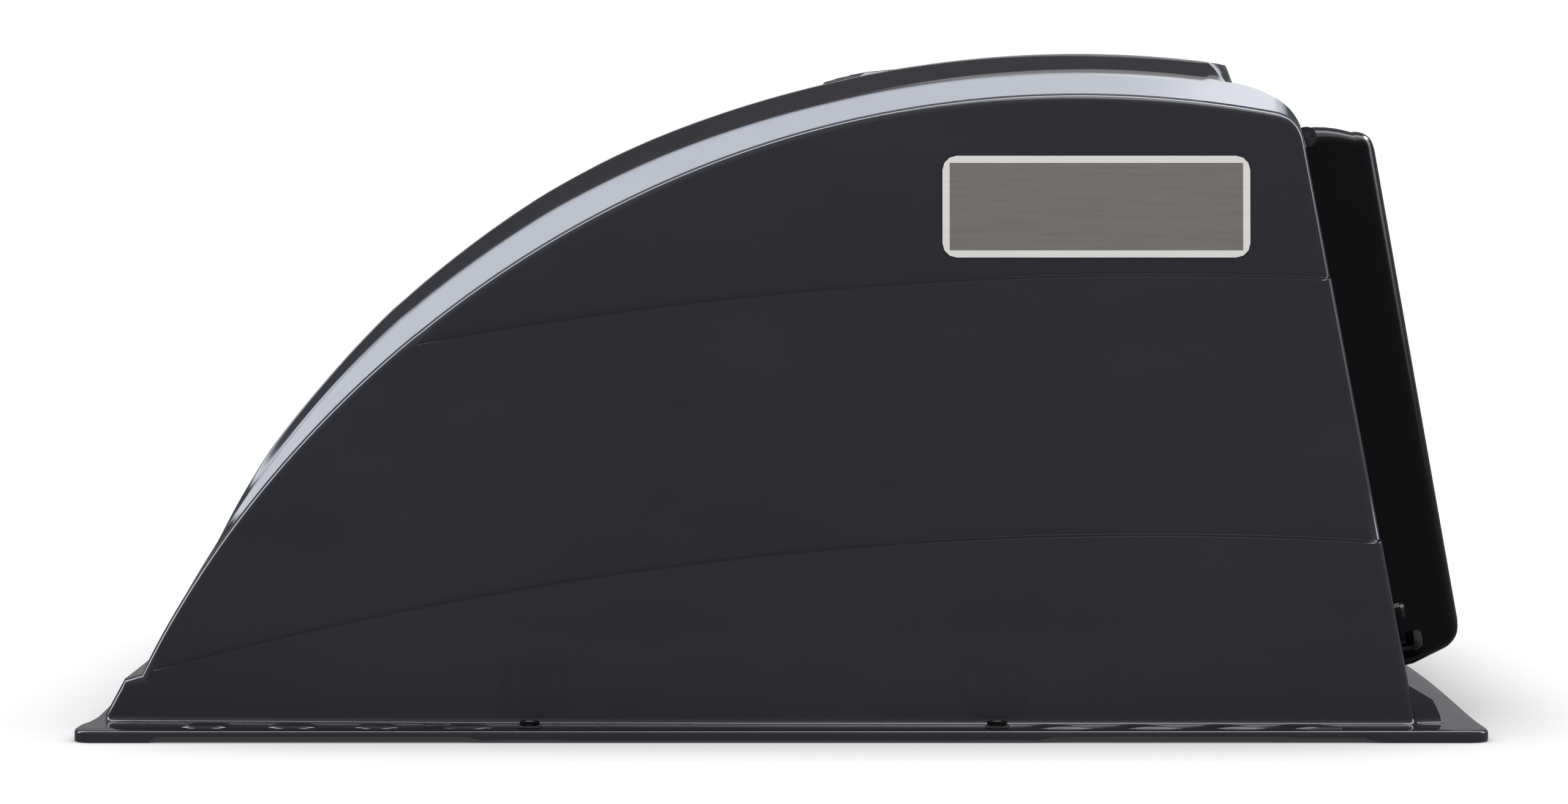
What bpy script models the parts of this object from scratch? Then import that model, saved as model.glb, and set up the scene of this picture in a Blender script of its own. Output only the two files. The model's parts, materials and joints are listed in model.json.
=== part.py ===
"""Roof vent cover for a caravan or motorhome.

A smoked plastic hood stands over a square roof vent. Its nose points along -X, its rear face is
closed by a black louvred vent that hangs on two pins and swings out and up for cleaning. Two turn
buttons lock that vent. Four steel angle brackets carry the hood on the roof vent's own frame.

Frame: X is the length (rear at +X), Y the width, Z up. The origin is the centre of the foot print,
on the plane that the four corner feet stand on. All lengths are in metres.
"""
from math import atan, cos, pi, radians, sin

import bmesh
import bpy
from mathutils import Matrix, Vector

NAME = "roof_vent_cover"
GAP = 0.0003                    # left between two pieces that rest on each other

# hood, seen from above
FLANGE_HALF_LENGTH = 0.294      # at the corners
FLANGE_BOW = 0.006              # both ends bulge by this much at the middle
FLANGE_HALF_WIDTH = 0.238
FLANGE_CORNER = 0.008
EAR_RECESS = 0.003              # the front edge steps back by this much inside each corner
BODY_HALF_WIDTH = 0.2165        # side wall at its foot, rear half
NOSE_TAPER = 0.010              # side wall comes in by this much at the nose
TAPER_START = 0.060
WALL_DRAFT = 0.018              # inward slope of the side walls
LEDGE = 0.0030                  # inward step of the side wall at each step line
LEDGE_RISE = 0.0012

# hood, seen from the side
SHELL = 0.0025
FLANGE_TOP = 0.0050
FOOT_Z = 0.0078                 # where the fillet of the flange ends and the wall begins
FILLET = 0.0032
EDGE_RADIUS = 0.0040            # side wall to roof, side wall to rear face, and nose corners
NOSE_FOOT_X = -0.286
NOSE_STEP_X = -0.278            # top of the low front step
NOSE_LEDGE_X = -0.2705          # where the roof curve starts on the step
ROOF_CURVE = ((-0.2690, 0.0290), (-0.2085, 0.1490), (-0.0640, 0.2706), (0.1263, 0.2706))
REAR_CURVE = ((0.1263, 0.2706), (0.1600, 0.2706), (0.1880, 0.2668), (0.2090, 0.2630))
REAR_FOOT_X = 0.2665
REAR_SLOPE = 0.185              # the rear face comes forward by this much per metre of height
ROLL_HEIGHT = 0.2500            # the rounded top edge meets the rear face here, at the side wall
SILL = ((0.0200, 0.0), (0.0140, 0.0090), (FOOT_Z, 0.0110))   # height, how far it stands out

# roof relief
SHOULDER_RISE = 0.0098          # height of the chamfer between the side edge and the panel
SHOULDER_SLOPE = 0.93           # its rise per metre of width
SHOULDER_LEAST = 0.0025         # its width where it fades out at the nose
PANEL_STEP = 0.0077
PANEL_REAR_X = 0.1920
PAD_HALF_WIDTH = 0.1100
PAD_STEP = 0.0026
PAD_LIP = 0.0014                # the front end of the pad is higher by this much
PAD_FRONT_X = 0.0240
PAD_REAR_X = 0.1760
STEP_RUN = 0.0030               # width of the slope at each edge of the panel and the pad
PANEL_CROWN = 0.0015
LEVEL_X = 0.030                 # the relief has its full height behind this place
SHOULDER_FADE = ((0.055, 0.0), (0.080, 0.12), (0.167, 0.97), (0.212, 1.17), (0.235, 1.13), (0.258, 1.0))
PANEL_FADE = ((0.076, 0.0), (0.114, 0.48), (0.140, 0.55), (0.226, 1.0))      # height, share of the relief

# rim of the flange: height of its lower edge along each long side
RIM_STEPS = ((-0.261, 0.0, 0.0026), (-0.126, 0.0026, 0.0010), (0.110, 0.0010, 0.0026),
             (0.211, 0.0026, 0.0021), (0.245, 0.0021, 0.0))
RIM_RAMP = 0.003

# resolution of the hood
ROOF_STEPS = 17
REAR_STEPS = 3
EDGE_STEPS = 3

# rear face: q is measured out of it, p up along it, both from REAR_ORIGIN_Z on the face
REAR_ORIGIN_Z = 0.030
OPENING_HALF_WIDTH = 0.1580
OPENING_LOW, OPENING_HIGH = 0.004, 0.214
OPENING_CORNER = 0.012

# louvred vent
VENT_HALF_WIDTH = 0.1700
VENT_DEPTH = 0.0333
VENT_FLARE = 0.29               # the part beyond the hinge is deeper by this share per metre of height
VENT_TOP, VENT_BOTTOM = 0.2300, -0.0080
VENT_WALL = 0.0024
VENT_CORNER = 0.008
LOUVRE_COUNT = 10
LOUVRE_PITCH = 0.0205
LOUVRE_LOW = 0.0150             # p of the lowest louvre's outer edge
LOUVRE_THICK = 0.0018
LOUVRE_DEPTH = 0.0200
LOUVRE_TILT = radians(38)
BAY_WIDTH = 0.1000
MULLION = 0.0070
BAY_LOW, BAY_HIGH = 0.0080, 0.2130
HINGE_Q, HINGE_P = 0.0046, 0.2258
KNUCKLE = 0.0042

# hinge and turn buttons
PIN_RADIUS = 0.0019
PIN_BORE = 0.0022
LUG_INNER, LUG_OUTER = 0.1712, 0.1782
LUG_RADIUS = 0.0044
BUTTON_Y, BUTTON_P = 0.1865, 0.0190
BUTTON_REACH = 0.0145
BUTTON_HALF = 0.0042
BUTTON_Q = (0.0036, 0.0056)
BUTTON_SCREW = 0.0015
KEEPER_TIP = 0.1800
KEEPER_TOP = 0.0031

# screen
SCREEN_HALF_WIDTH = 0.1650
SCREEN_P = (-0.0010, 0.2190)
SCREEN_Q = (0.0090, 0.0130)
SCREEN_RING = 0.0090
SCREEN_SHEET = 0.0006

# brackets
BRACKET_X = (-0.105, 0.090)
BRACKET_FACE_Y = 0.1960         # outer face of the roof vent's frame, where the brackets screw on
BRACKET_THICK = 0.0016
BRACKET_WIDTH = 0.0300
BRACKET_REACH = 0.2335
BRACKET_HEIGHT = 0.0320
BRACKET_REST = 0.0004
STUD_Y = 0.2270
STUD_RADIUS = 0.0020
STUD_HOLE = 0.0026
STUD_TOP = 0.0077
SLOT_LENGTH, SLOT_WIDTH = 0.0100, 0.0045
SLOT_HEIGHT = 0.0190

# labels
LABEL_CENTRE = (0.1330, 0.2225)
LABEL_SIZE = (0.1300, 0.0430)
LABEL_CORNER = 0.006
LABEL_THICK = 0.0004

LEAN = atan(REAR_SLOPE)

for thing in list(bpy.data.objects):
    bpy.data.objects.remove(thing)

parts = bpy.data.collections.new(NAME)
cutters = bpy.data.collections.new(NAME + "_cutters")
bpy.context.scene.collection.children.link(parts)
bpy.context.scene.collection.children.link(cutters)


# ---------------------------------------------------------------- materials
def plastic(name, colour, roughness, metallic=0.0):
    material = bpy.data.materials.new(name)
    material.use_nodes = True
    shader = material.node_tree.nodes["Principled BSDF"]
    shader.inputs["Base Color"].default_value = (*colour, 1.0)
    shader.inputs["Roughness"].default_value = roughness
    shader.inputs["Metallic"].default_value = metallic
    return material


SMOKE = plastic("smoke_plastic", (0.030, 0.029, 0.036), 0.20)
BLACK = plastic("black_plastic", (0.006, 0.006, 0.006), 0.18)
ZINC = plastic("zinc_plated_steel", (0.55, 0.56, 0.56), 0.35, 1.0)
DARK_STEEL = plastic("black_oxide_steel", (0.035, 0.035, 0.038), 0.40, 1.0)
RUBBER = plastic("rubber", (0.015, 0.015, 0.015), 0.75)
MESH_GREY = plastic("screen_mesh", (0.05, 0.05, 0.05), 0.60)
LABEL = plastic("label_film", (0.32, 0.31, 0.29), 0.45)


# ---------------------------------------------------------------- helpers
def add_object(name, mesh, material, parent=None, collection=parts):
    thing = bpy.data.objects.new(name, mesh)
    collection.objects.link(thing)
    if material:
        mesh.materials.append(material)
    thing.parent = parent
    return thing


def as_mesh(name, bm, smooth=None):
    mesh = bpy.data.meshes.new(name)
    bm.to_mesh(mesh)
    bm.free()
    if smooth:
        mesh.shade_smooth()
        mesh.set_sharp_from_angle(angle=smooth)
    return mesh


def add_guide(thing):
    thing.display_type = "WIRE"
    thing.hide_render = True
    return thing


def box_into(bm, low, high, matrix=None):
    size = Vector(high) - Vector(low)
    centre = (Vector(high) + Vector(low)) / 2
    place = Matrix.Translation(centre) @ Matrix.Diagonal((*size, 1.0))
    bmesh.ops.create_cube(bm, size=1.0, matrix=(matrix or Matrix()) @ place)


def cylinder_into(bm, radius, start, end, segments=20):
    """A cylinder between two points."""
    start, end = Vector(start), Vector(end)
    along = end - start
    place = Matrix.Translation((start + end) / 2) @ along.to_track_quat("Z", "Y").to_matrix().to_4x4()
    bmesh.ops.create_cone(bm, cap_ends=True, segments=segments, radius1=radius, radius2=radius,
                          depth=along.length, matrix=place)


def arc(centre, radius, start, end, steps):
    """Points along an arc, angles in radians."""
    turn = [start + (end - start) * i / steps for i in range(steps + 1)]
    return [(centre[0] + radius * cos(a), centre[1] + radius * sin(a)) for a in turn]


def rounded_rectangle(low, high, radius, steps=3):
    corners = (((high[0] - radius, high[1] - radius), 0.0), ((low[0] + radius, high[1] - radius), 0.5),
               ((low[0] + radius, low[1] + radius), 1.0), ((high[0] - radius, low[1] + radius), 1.5))
    return [point for centre, turn in corners
            for point in arc(centre, radius, turn * pi, (turn + 0.5) * pi, steps)]


def slot(centre, length, width, steps=4):
    """An upright slot with round ends."""
    radius, reach = width / 2, (length - width) / 2
    return (arc((centre[0], centre[1] + reach), radius, 0.0, pi, steps)
            + arc((centre[0], centre[1] - reach), radius, pi, 2 * pi, steps))


def circle(centre, radius, steps=20):
    return arc(centre, radius, 0.0, 2 * pi, steps)[:-1]


def plate_mesh(name, loops, low, high, axes):
    """A flat plate from closed outlines: the first is its edge, the others are holes.

    axes is the matrix that carries the outline's plane to its place; low and high are the plate's
    two faces along that plane's normal.
    """
    curve = bpy.data.curves.new(name, "CURVE")
    curve.dimensions = "2D"
    curve.fill_mode = "BOTH"
    curve.extrude = (high - low) / 2
    for loop in loops:
        spline = curve.splines.new("POLY")
        spline.points.add(len(loop) - 1)
        for point, (u, v) in zip(spline.points, loop):
            point.co = (u, v, 0.0, 1.0)
        spline.use_cyclic_u = True
    outline = bpy.data.objects.new(name + "_outline", curve)
    cutters.objects.link(outline)
    bpy.context.view_layer.update()
    solid = bpy.data.meshes.new_from_object(outline.evaluated_get(bpy.context.evaluated_depsgraph_get()))
    bpy.data.objects.remove(outline)
    bm = bmesh.new()
    bm.from_mesh(solid)
    bmesh.ops.remove_doubles(bm, verts=bm.verts, dist=1e-6)
    bmesh.ops.transform(bm, matrix=axes @ Matrix.Translation((0, 0, (low + high) / 2)), verts=bm.verts)
    bmesh.ops.recalc_face_normals(bm, faces=bm.faces)
    return bm


def boolean(thing, operation, other):
    modifier = thing.modifiers.new(operation.lower(), "BOOLEAN")
    modifier.operation = operation
    modifier.solver = "EXACT"
    modifier.object = other


def smoothstep(value):
    value = min(max(value, 0.0), 1.0)
    return value * value * (3 - 2 * value)


# ---------------------------------------------------------------- hood: shape functions
def lower_step(x):
    """Height of the lower step line."""
    return 0.0758 + 0.1008 * x - 0.3255 * x * x


def upper_step(x):
    """Height of the upper step line."""
    return 0.1853 + 0.0936 * x - 0.2932 * x * x


def half_width(x, z):
    """Distance of the side wall from the middle plane."""
    taper = NOSE_TAPER * (max(TAPER_START - x, 0.0) / (TAPER_START - NOSE_FOOT_X)) ** 2
    steps = smoothstep((z - lower_step(x)) / LEDGE_RISE) + smoothstep((z - upper_step(x)) / LEDGE_RISE)
    return BODY_HALF_WIDTH - taper - WALL_DRAFT * (z - FOOT_Z) - LEDGE * steps


def rear_face_x(z):
    return REAR_FOOT_X - REAR_SLOPE * (z - FOOT_Z)


def bezier(curve, t):
    weights = ((1 - t) ** 3, 3 * t * (1 - t) ** 2, 3 * t * t * (1 - t), t ** 3)
    return tuple(sum(w * point[i] for w, point in zip(weights, curve)) for i in (0, 1))


def fade(stages, z):
    """Share of the roof relief at the height z: straight lines between the stages."""
    for (low, before), (high, after) in zip(stages, stages[1:]):
        if z < high:
            return before + (after - before) * max(z - low, 0.0) / (high - low)
    return stages[-1][1]


def ends_fade(x, front, rear):
    """1 between front and rear, with a slope of STEP_RUN outside each."""
    return smoothstep((x - front) / STEP_RUN + 1) * smoothstep((rear - x) / STEP_RUN + 1)


def bulge(y):
    """Plan bow of the two ends: 0 at the corners, 1 in the middle."""
    return max(1 - (y / (FLANGE_HALF_WIDTH - 0.025)) ** 2, 0.0) ** 1.5


def end_bow(end, y):
    """How far the flange's end stands out in X: a plain bow at the rear, with ears at the nose's corners."""
    if end > 0:
        return FLANGE_BOW * bulge(y)
    return EAR_RECESS * smoothstep((FLANGE_HALF_WIDTH - 0.018 - abs(y)) / 0.018) - (
        FLANGE_BOW + EAR_RECESS) * bulge(y)


def rim_height(x):
    height = RIM_STEPS[0][1]
    for place, before, after in RIM_STEPS:
        height += (after - before) * smoothstep((x - place) / RIM_RAMP + 0.5)
    return height


def profile():
    """Side outline of the hood from the foot of the nose over the roof to the foot of the rear.

    Each entry is (x, z, kind): kind is nose, roof, roll or rear.
    """
    points = [(NOSE_FOOT_X, FOOT_Z, "nose")]
    points += [(NOSE_STEP_X, lower_step(NOSE_STEP_X), "nose")]
    points += [(NOSE_LEDGE_X, lower_step(NOSE_LEDGE_X), "nose")]
    points += [(*bezier(ROOF_CURVE, i / ROOF_STEPS), "roof") for i in range(ROOF_STEPS)]
    points += [(*bezier(REAR_CURVE, i / REAR_STEPS), "roof") for i in range(REAR_STEPS)]
    for x in (PAD_FRONT_X - STEP_RUN, PAD_FRONT_X, PAD_REAR_X, PAD_REAR_X + STEP_RUN,
              PANEL_REAR_X - STEP_RUN / 2, PANEL_REAR_X + STEP_RUN / 2):
        points.append((x, roof_height(x), "roof"))
    roof = sorted(points[3:])
    points = points[:3] + [p for p, after in zip(roof, roof[1:] + [(1, 0, "")]) if after[0] - p[0] > 0.002]
    start, end = REAR_CURVE[-1], (rear_face_x(ROLL_HEIGHT), ROLL_HEIGHT)
    corner = (rear_face_x(start[1] - 0.002), start[1] - 0.002)
    for i in range(EDGE_STEPS + 1):
        t = i / EDGE_STEPS
        x, z = ((1 - t) ** 2 * a + 2 * t * (1 - t) * c + t * t * b
                for a, c, b in zip(start, corner, end))
        points.append((x, z, "roll"))
    lift = EDGE_RADIUS * sin(LEAN)
    wall_x = REAR_FOOT_X - 0.030
    for level in (upper_step(wall_x) + LEDGE_RISE, upper_step(wall_x), lower_step(wall_x + 0.015) + LEDGE_RISE,
                  lower_step(wall_x + 0.015), SILL[0][0], SILL[1][0]):
        points.append((rear_face_x(level + lift), level + lift, "rear"))
    points.append((REAR_FOOT_X, FOOT_Z, "rear"))
    return points


def roof_height(x):
    """Height of the roof's side edge at x."""
    curve = ROOF_CURVE if x < REAR_CURVE[0][0] else REAR_CURVE
    low, high = 0.0, 1.0
    for _ in range(40):
        middle = (low + high) / 2
        if bezier(curve, middle)[0] < x:
            low = middle
        else:
            high = middle
    return bezier(curve, low)[1]


def outward(points):
    """Unit normal of the outline at each point, out of the hood."""
    normals = []
    for i, point in enumerate(points):
        before = Vector(points[max(i - 1, 0)][:2])
        after = Vector(points[min(i + 1, len(points) - 1)][:2])
        along = (after - before).normalized()
        normals.append(Vector((-along.y, along.x)))
    normals[0] = Vector((-1.0, 0.0))
    normals[-1] = Vector((1.0, 0.0))
    return normals


def roof_row(x, z, kind, normal):
    """Points from the side wall (first) to the middle plane (last) at one point of the outline."""
    wall_x, wall_z = x - EDGE_RADIUS * normal.x, z - EDGE_RADIUS * normal.y
    edge = half_width(wall_x, wall_z)
    row = []
    for i in range(EDGE_STEPS + 1):
        angle = pi / 2 * i / EDGE_STEPS
        sink = EDGE_RADIUS * (1 - sin(angle))
        row.append(Vector((x - sink * normal.x, -edge + EDGE_RADIUS * (1 - cos(angle)), z - sink * normal.y)))
    inner = edge - EDGE_RADIUS
    foot = panel_foot(x, z, inner, kind)
    across = [(inner + foot) / 2, foot, foot - STEP_RUN, (foot - STEP_RUN + PAD_HALF_WIDTH) / 2,
              PAD_HALF_WIDTH + STEP_RUN, PAD_HALF_WIDTH, PAD_HALF_WIDTH / 2, 0.0]
    if kind == "rear":
        across[0] = inner - 0.0030
    lift = Vector((min(normal.x, 0.0), normal.y)).normalized() if kind != "rear" else Vector((0.0, 1.0))
    for y in across:
        rise = roof_rise(x, z, y, inner, kind)
        row.append(Vector((x + rise * lift.x, -y, z + rise * lift.y)))
    for point in row:
        shape_ends(point, kind, inner)
    return row


def shoulder_rise(x, z):
    return SHOULDER_RISE * (fade(SHOULDER_FADE, z) if x < LEVEL_X else 1.0)


def panel_foot(x, z, inner, kind):
    """Distance of the panel's foot from the middle plane: the chamfer runs from inner to here."""
    rise = SHOULDER_RISE if kind == "rear" else shoulder_rise(x, z)
    return inner - max(rise / SHOULDER_SLOPE, SHOULDER_LEAST)


def roof_rise(x, z, y, inner, kind):
    """Height of the roof relief over the side edge's own level, y from the middle plane."""
    if kind in ("nose", "rear"):
        return 0.0
    foot = panel_foot(x, z, inner, kind)
    half = foot - STEP_RUN
    shoulder = shoulder_rise(x, z) * min((inner - y) / (inner - foot), 1.0)
    panel = PANEL_STEP * ends_fade(x, -1.0, PANEL_REAR_X) if y <= half + 1e-6 else 0.0
    crown = PANEL_CROWN * (1 - (y / half) ** 2) if panel else 0.0
    lip = PAD_LIP * smoothstep((PAD_FRONT_X + 0.030 - x) / 0.015)
    pad = (PAD_STEP + lip) * ends_fade(x, PAD_FRONT_X, PAD_REAR_X) if y <= PAD_HALF_WIDTH + 1e-6 else 0.0
    return shoulder + fade(PANEL_FADE, z) * (panel + crown + pad)


def shape_ends(point, kind, inner):
    """Bow the nose in plan, keep the rolled rear edge on the rear face, stand the sill out."""
    if point.x < -0.100:
        point.x -= FLANGE_BOW * bulge(point.y) * ((-0.100 - point.x) / 0.190) ** 2
    if kind == "roll":
        point.x = min(point.x, rear_face_x(point.z))
    if kind == "rear" and abs(point.y) < inner - 0.0015 and point.z < SILL[0][0] + 0.002:
        (top, _), (knee, out), (_, foot_out) = SILL
        if point.z < knee + 0.002:
            point.x += foot_out if point.z < knee - 0.002 else out


def hood_rows():
    """The half hood at -Y as rows of points: roof rows and side wall columns."""
    outline = profile()
    normals = outward(outline)
    roof = [roof_row(*point, normal) for point, normal in zip(outline, normals)]
    last = max(i for i, point in enumerate(outline) if point[2] == "roll")
    first_x, last_x = roof[0][0].x, roof[last][0].x
    foot_x = roof[-1][0].x
    columns = []
    for i in range(last):
        top = roof[i][0]
        foot = first_x + (top.x - first_x) * (foot_x - first_x) / (last_x - first_x)
        columns.append(wall_column(foot, top))
    columns.append([row[0] for row in reversed(roof[last:])])
    return roof, columns


def wall_column(foot, top):
    """Side wall points from the foot up to the roof's edge, rows that lie higher fold onto it."""
    column = []
    for level in (None, SILL[1][0], SILL[0][0], lower_step, lambda x: lower_step(x) + LEDGE_RISE,
                  upper_step, lambda x: upper_step(x) + LEDGE_RISE):
        x, z = foot, FOOT_Z
        for _ in range(4):
            if level is None:
                z = FOOT_Z
            else:
                z = level(x) if callable(level) else level
            z = min(z, top.z)
            share = (z - FOOT_Z) / (top.z - FOOT_Z) if top.z - FOOT_Z > 1e-6 else 0.0
            x = foot + (top.x - foot) * share
        folded = z >= top.z - 1e-5
        column.append(top.copy() if folded else Vector((x, -half_width(x, z), z)))
    return column + [top.copy()]


def flange_rows(roof, columns):
    """The flange as rows of points around the half foot print, from the nose to the rear."""
    side = [column[0] for column in columns]
    foot = list(reversed(roof[0])) + side[1:-1] + roof[-1]
    count = len(roof[0])
    straight = FLANGE_HALF_LENGTH - FLANGE_CORNER
    depth = FLANGE_HALF_WIDTH - FLANGE_CORNER
    edge = []
    for i, point in enumerate(foot):
        if i < count or i >= len(foot) - count:
            end = -1 if i < count else 1
            row = roof[0] if end < 0 else roof[-1]
            k = count - 1 - i if end < 0 else i - (len(foot) - count)
            if k <= EDGE_STEPS:
                angle = pi / 2 * k / EDGE_STEPS
                edge.append(Vector((end * (straight + FLANGE_CORNER * sin(angle)),
                                    -(depth + FLANGE_CORNER * cos(angle)))))
            else:
                y = point.y * depth / abs(row[EDGE_STEPS].y)
                edge.append(Vector((end * FLANGE_HALF_LENGTH + end_bow(end, y), y)))
        else:
            share = (point.x - side[0].x) / (side[-1].x - side[0].x)
            edge.append(Vector((straight * (2 * share - 1), -FLANGE_HALF_WIDTH)))
    rows = [foot]
    for out, height in ((0.3, FLANGE_TOP + 0.3 * (FOOT_Z - FLANGE_TOP)), (1.0, FLANGE_TOP)):
        row = []
        for point, end in zip(foot, edge):
            way = (end - point.xy).normalized()
            flat = point.xy + way * FILLET * out
            row.append(Vector((flat.x, min(flat.y, 0.0) if abs(point.y) > 1e-6 else 0.0, height)))
        rows.append(row)
    inset = 0.0010
    rows.append([Vector((e.x - inset * (e - p.xy).normalized().x, e.y - inset * (e - p.xy).normalized().y
                         if abs(p.y) > 1e-6 else 0.0, FLANGE_TOP)) for e, p in zip(edge, foot)])
    rows.append([Vector((e.x, e.y, FLANGE_TOP - inset)) for e in edge])
    rows.append([Vector((e.x, e.y, rim_height(e.x) if abs(e.x) < straight + 1e-6 else 0.0)) for e in edge])
    return rows


def skin(bm, rows):
    """Quads between neighbouring rows of points."""
    grid = [[bm.verts.new(point) for point in row] for row in rows]
    for lower, upper in zip(grid, grid[1:]):
        for a, b, c, d in zip(lower, lower[1:], upper[1:], upper):
            bm.faces.new((a, b, c, d))


def hood_surface():
    roof, columns = hood_rows()
    bm = bmesh.new()
    skin(bm, roof)
    skin(bm, [list(row) for row in zip(*columns)])
    skin(bm, flange_rows(roof, columns))
    bmesh.ops.remove_doubles(bm, verts=bm.verts, dist=2e-5)
    bmesh.ops.dissolve_degenerate(bm, edges=bm.edges, dist=1e-6)
    bmesh.ops.recalc_face_normals(bm, faces=bm.faces)
    top = max(bm.faces, key=lambda face: face.calc_center_median().z)
    if top.normal.z < 0:
        bmesh.ops.reverse_faces(bm, faces=bm.faces)
    return bm


# ---------------------------------------------------------------- rear face frame
rear = bpy.data.objects.new("rear_face", None)
rear.location = (rear_face_x(REAR_ORIGIN_Z), 0.0, REAR_ORIGIN_Z)
rear.rotation_euler = (0.0, -LEAN, 0.0)
parts.objects.link(rear)

hinge = bpy.data.objects.new("vent_hinge", None)
hinge.location = (HINGE_Q, 0.0, HINGE_P)
hinge.parent = rear
parts.objects.link(hinge)

AXIS_SHIFT = Matrix.Translation((-HINGE_Q, 0.0, -HINGE_P))
FACE_ON = Matrix(((0, 0, 1, 0), (1, 0, 0, 0), (0, 1, 0, 0), (0, 0, 0, 1)))    # outline (y, p), normal q
SIDE_ON = Matrix(((1, 0, 0, 0), (0, 0, -1, 0), (0, 1, 0, 0), (0, 0, 0, 1)))   # outline (q, p), normal -y


# ---------------------------------------------------------------- hood
def make_hood():
    bm = hood_surface()
    hood = add_object("hood", as_mesh("hood", bm, radians(30)), SMOKE)
    mirror = hood.modifiers.new("halves", "MIRROR")
    mirror.use_axis = (False, True, False)
    mirror.merge_threshold = 0.00002
    shell = hood.modifiers.new("wall", "SOLIDIFY")
    shell.thickness = SHELL
    shell.offset = -1
    shell.use_even_offset = True
    boolean(hood, "DIFFERENCE", hood_holes())
    boolean(hood, "DIFFERENCE", stud_holes())
    boolean(hood, "UNION", hinge_lugs())


def hood_holes():
    """The rear opening and the holes for the turn buttons' screws."""
    loop = rounded_rectangle((-OPENING_HALF_WIDTH, OPENING_LOW), (OPENING_HALF_WIDTH, OPENING_HIGH),
                             OPENING_CORNER)
    bm = plate_mesh("opening", [loop], -0.012, 0.020, FACE_ON)
    for side in (-1, 1):
        y = side * BUTTON_Y
        cylinder_into(bm, BUTTON_SCREW + 0.0004, (-0.012, y, BUTTON_P), (0.020, y, BUTTON_P), 12)
    return add_guide(add_object("rear_opening_cutter", as_mesh("rear_opening_cutter", bm), None, rear, cutters))


def stud_holes():
    bm = bmesh.new()
    for x in BRACKET_X:
        for side in (-1, 1):
            cylinder_into(bm, STUD_HOLE, (x, side * STUD_Y, -0.002), (x, side * STUD_Y, 0.012), 12)
    return add_guide(add_object("stud_hole_cutter", as_mesh("stud_hole_cutter", bm), None, None, cutters))


def hinge_lugs():
    """Two lugs on the rear face, each with the bore for a hinge pin."""
    bm = bmesh.new()
    lug = arc((HINGE_Q, HINGE_P), LUG_RADIUS, -pi / 2, pi / 2, 8)
    lug += [(-0.0012, HINGE_P + LUG_RADIUS), (-0.0012, HINGE_P - LUG_RADIUS)]
    for side in (-1, 1):
        low, high = sorted((-side * LUG_INNER, -side * LUG_OUTER))
        one = plate_mesh("lug", [lug, circle((HINGE_Q, HINGE_P), PIN_BORE, 12)], low, high, SIDE_ON)
        piece = as_mesh("lug", one)
        bm.from_mesh(piece)
        bpy.data.meshes.remove(piece)
    return add_guide(add_object("hinge_lugs", as_mesh("hinge_lugs", bm), None, rear, cutters))


# ---------------------------------------------------------------- louvred vent
def flared(q, p):
    """The vent's depth at the height p: it is a little deeper at the top than at the bottom."""
    return q + VENT_FLARE * max(q - HINGE_Q, 0.0) * p


def vent_ring(q, inset, top_drop, steps=3):
    """Outline of the vent's skin at the height q over the rear face."""
    half = VENT_HALF_WIDTH - inset
    bottom = VENT_BOTTOM + inset + 0.25 * max(q - 0.010, 0.0)
    top = VENT_TOP - top_drop
    loop = rounded_rectangle((-half, bottom), (half, top), max(VENT_CORNER - inset, 0.004), steps)
    return [Vector((flared(q, p), y, p)) for y, p in loop]


def vent_skin():
    """An open tray: its mouth on the rear face, its bottom is the louvred face."""
    knuckle_drop = VENT_TOP - HINGE_P - KNUCKLE
    rings = []
    for angle in (8, 40, 90):
        q = HINGE_Q - KNUCKLE * cos(radians(angle))
        rings.append(vent_ring(q, 0.0, knuckle_drop + KNUCKLE * (1 - sin(radians(angle)))))
    edge = 0.0070
    rings.append(vent_ring(VENT_DEPTH - edge, 0.0006, 0.0040))
    for angle in (30, 60, 90):
        turn = radians(angle)
        inset = 0.0006 + edge * (1 - cos(turn))
        rings.append(vent_ring(VENT_DEPTH - edge * (1 - sin(turn)), inset, 0.0040 + edge * (1 - cos(turn))))
    bm = bmesh.new()
    grid = [[bm.verts.new(point) for point in ring] for ring in rings]
    for lower, upper in zip(grid, grid[1:]):
        for i in range(len(lower)):
            k = (i + 1) % len(lower)
            bm.faces.new((lower[i], lower[k], upper[k], upper[i]))
    bm.faces.new(grid[-1])
    bmesh.ops.recalc_face_normals(bm, faces=bm.faces)
    face = max(bm.faces, key=lambda f: f.calc_center_median().x)
    if face.normal.x < 0:
        bmesh.ops.reverse_faces(bm, faces=bm.faces)
    bmesh.ops.transform(bm, matrix=AXIS_SHIFT, verts=bm.verts)
    return bm


def make_vent():
    vent = add_object("louvred_vent", as_mesh("louvred_vent", vent_skin(), radians(30)), BLACK, hinge)
    shell = vent.modifiers.new("wall", "SOLIDIFY")
    shell.thickness = VENT_WALL
    shell.offset = -1
    shell.use_even_offset = True
    boolean(vent, "DIFFERENCE", vent_windows())
    boolean(vent, "UNION", vent_blades())
    boolean(vent, "DIFFERENCE", vent_bores())


def vent_windows():
    """Three tall windows in the face, behind which the louvres sit."""
    bm = bmesh.new()
    for k in (-1, 0, 1):
        middle = k * (BAY_WIDTH + MULLION)
        box_into(bm, (VENT_DEPTH - 0.006, middle - BAY_WIDTH / 2, BAY_LOW),
                 (VENT_DEPTH + 0.004, middle + BAY_WIDTH / 2, BAY_HIGH), AXIS_SHIFT)
    return add_guide(add_object("vent_window_cutter", as_mesh("vent_window_cutter", bm), None, hinge, cutters))


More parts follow.
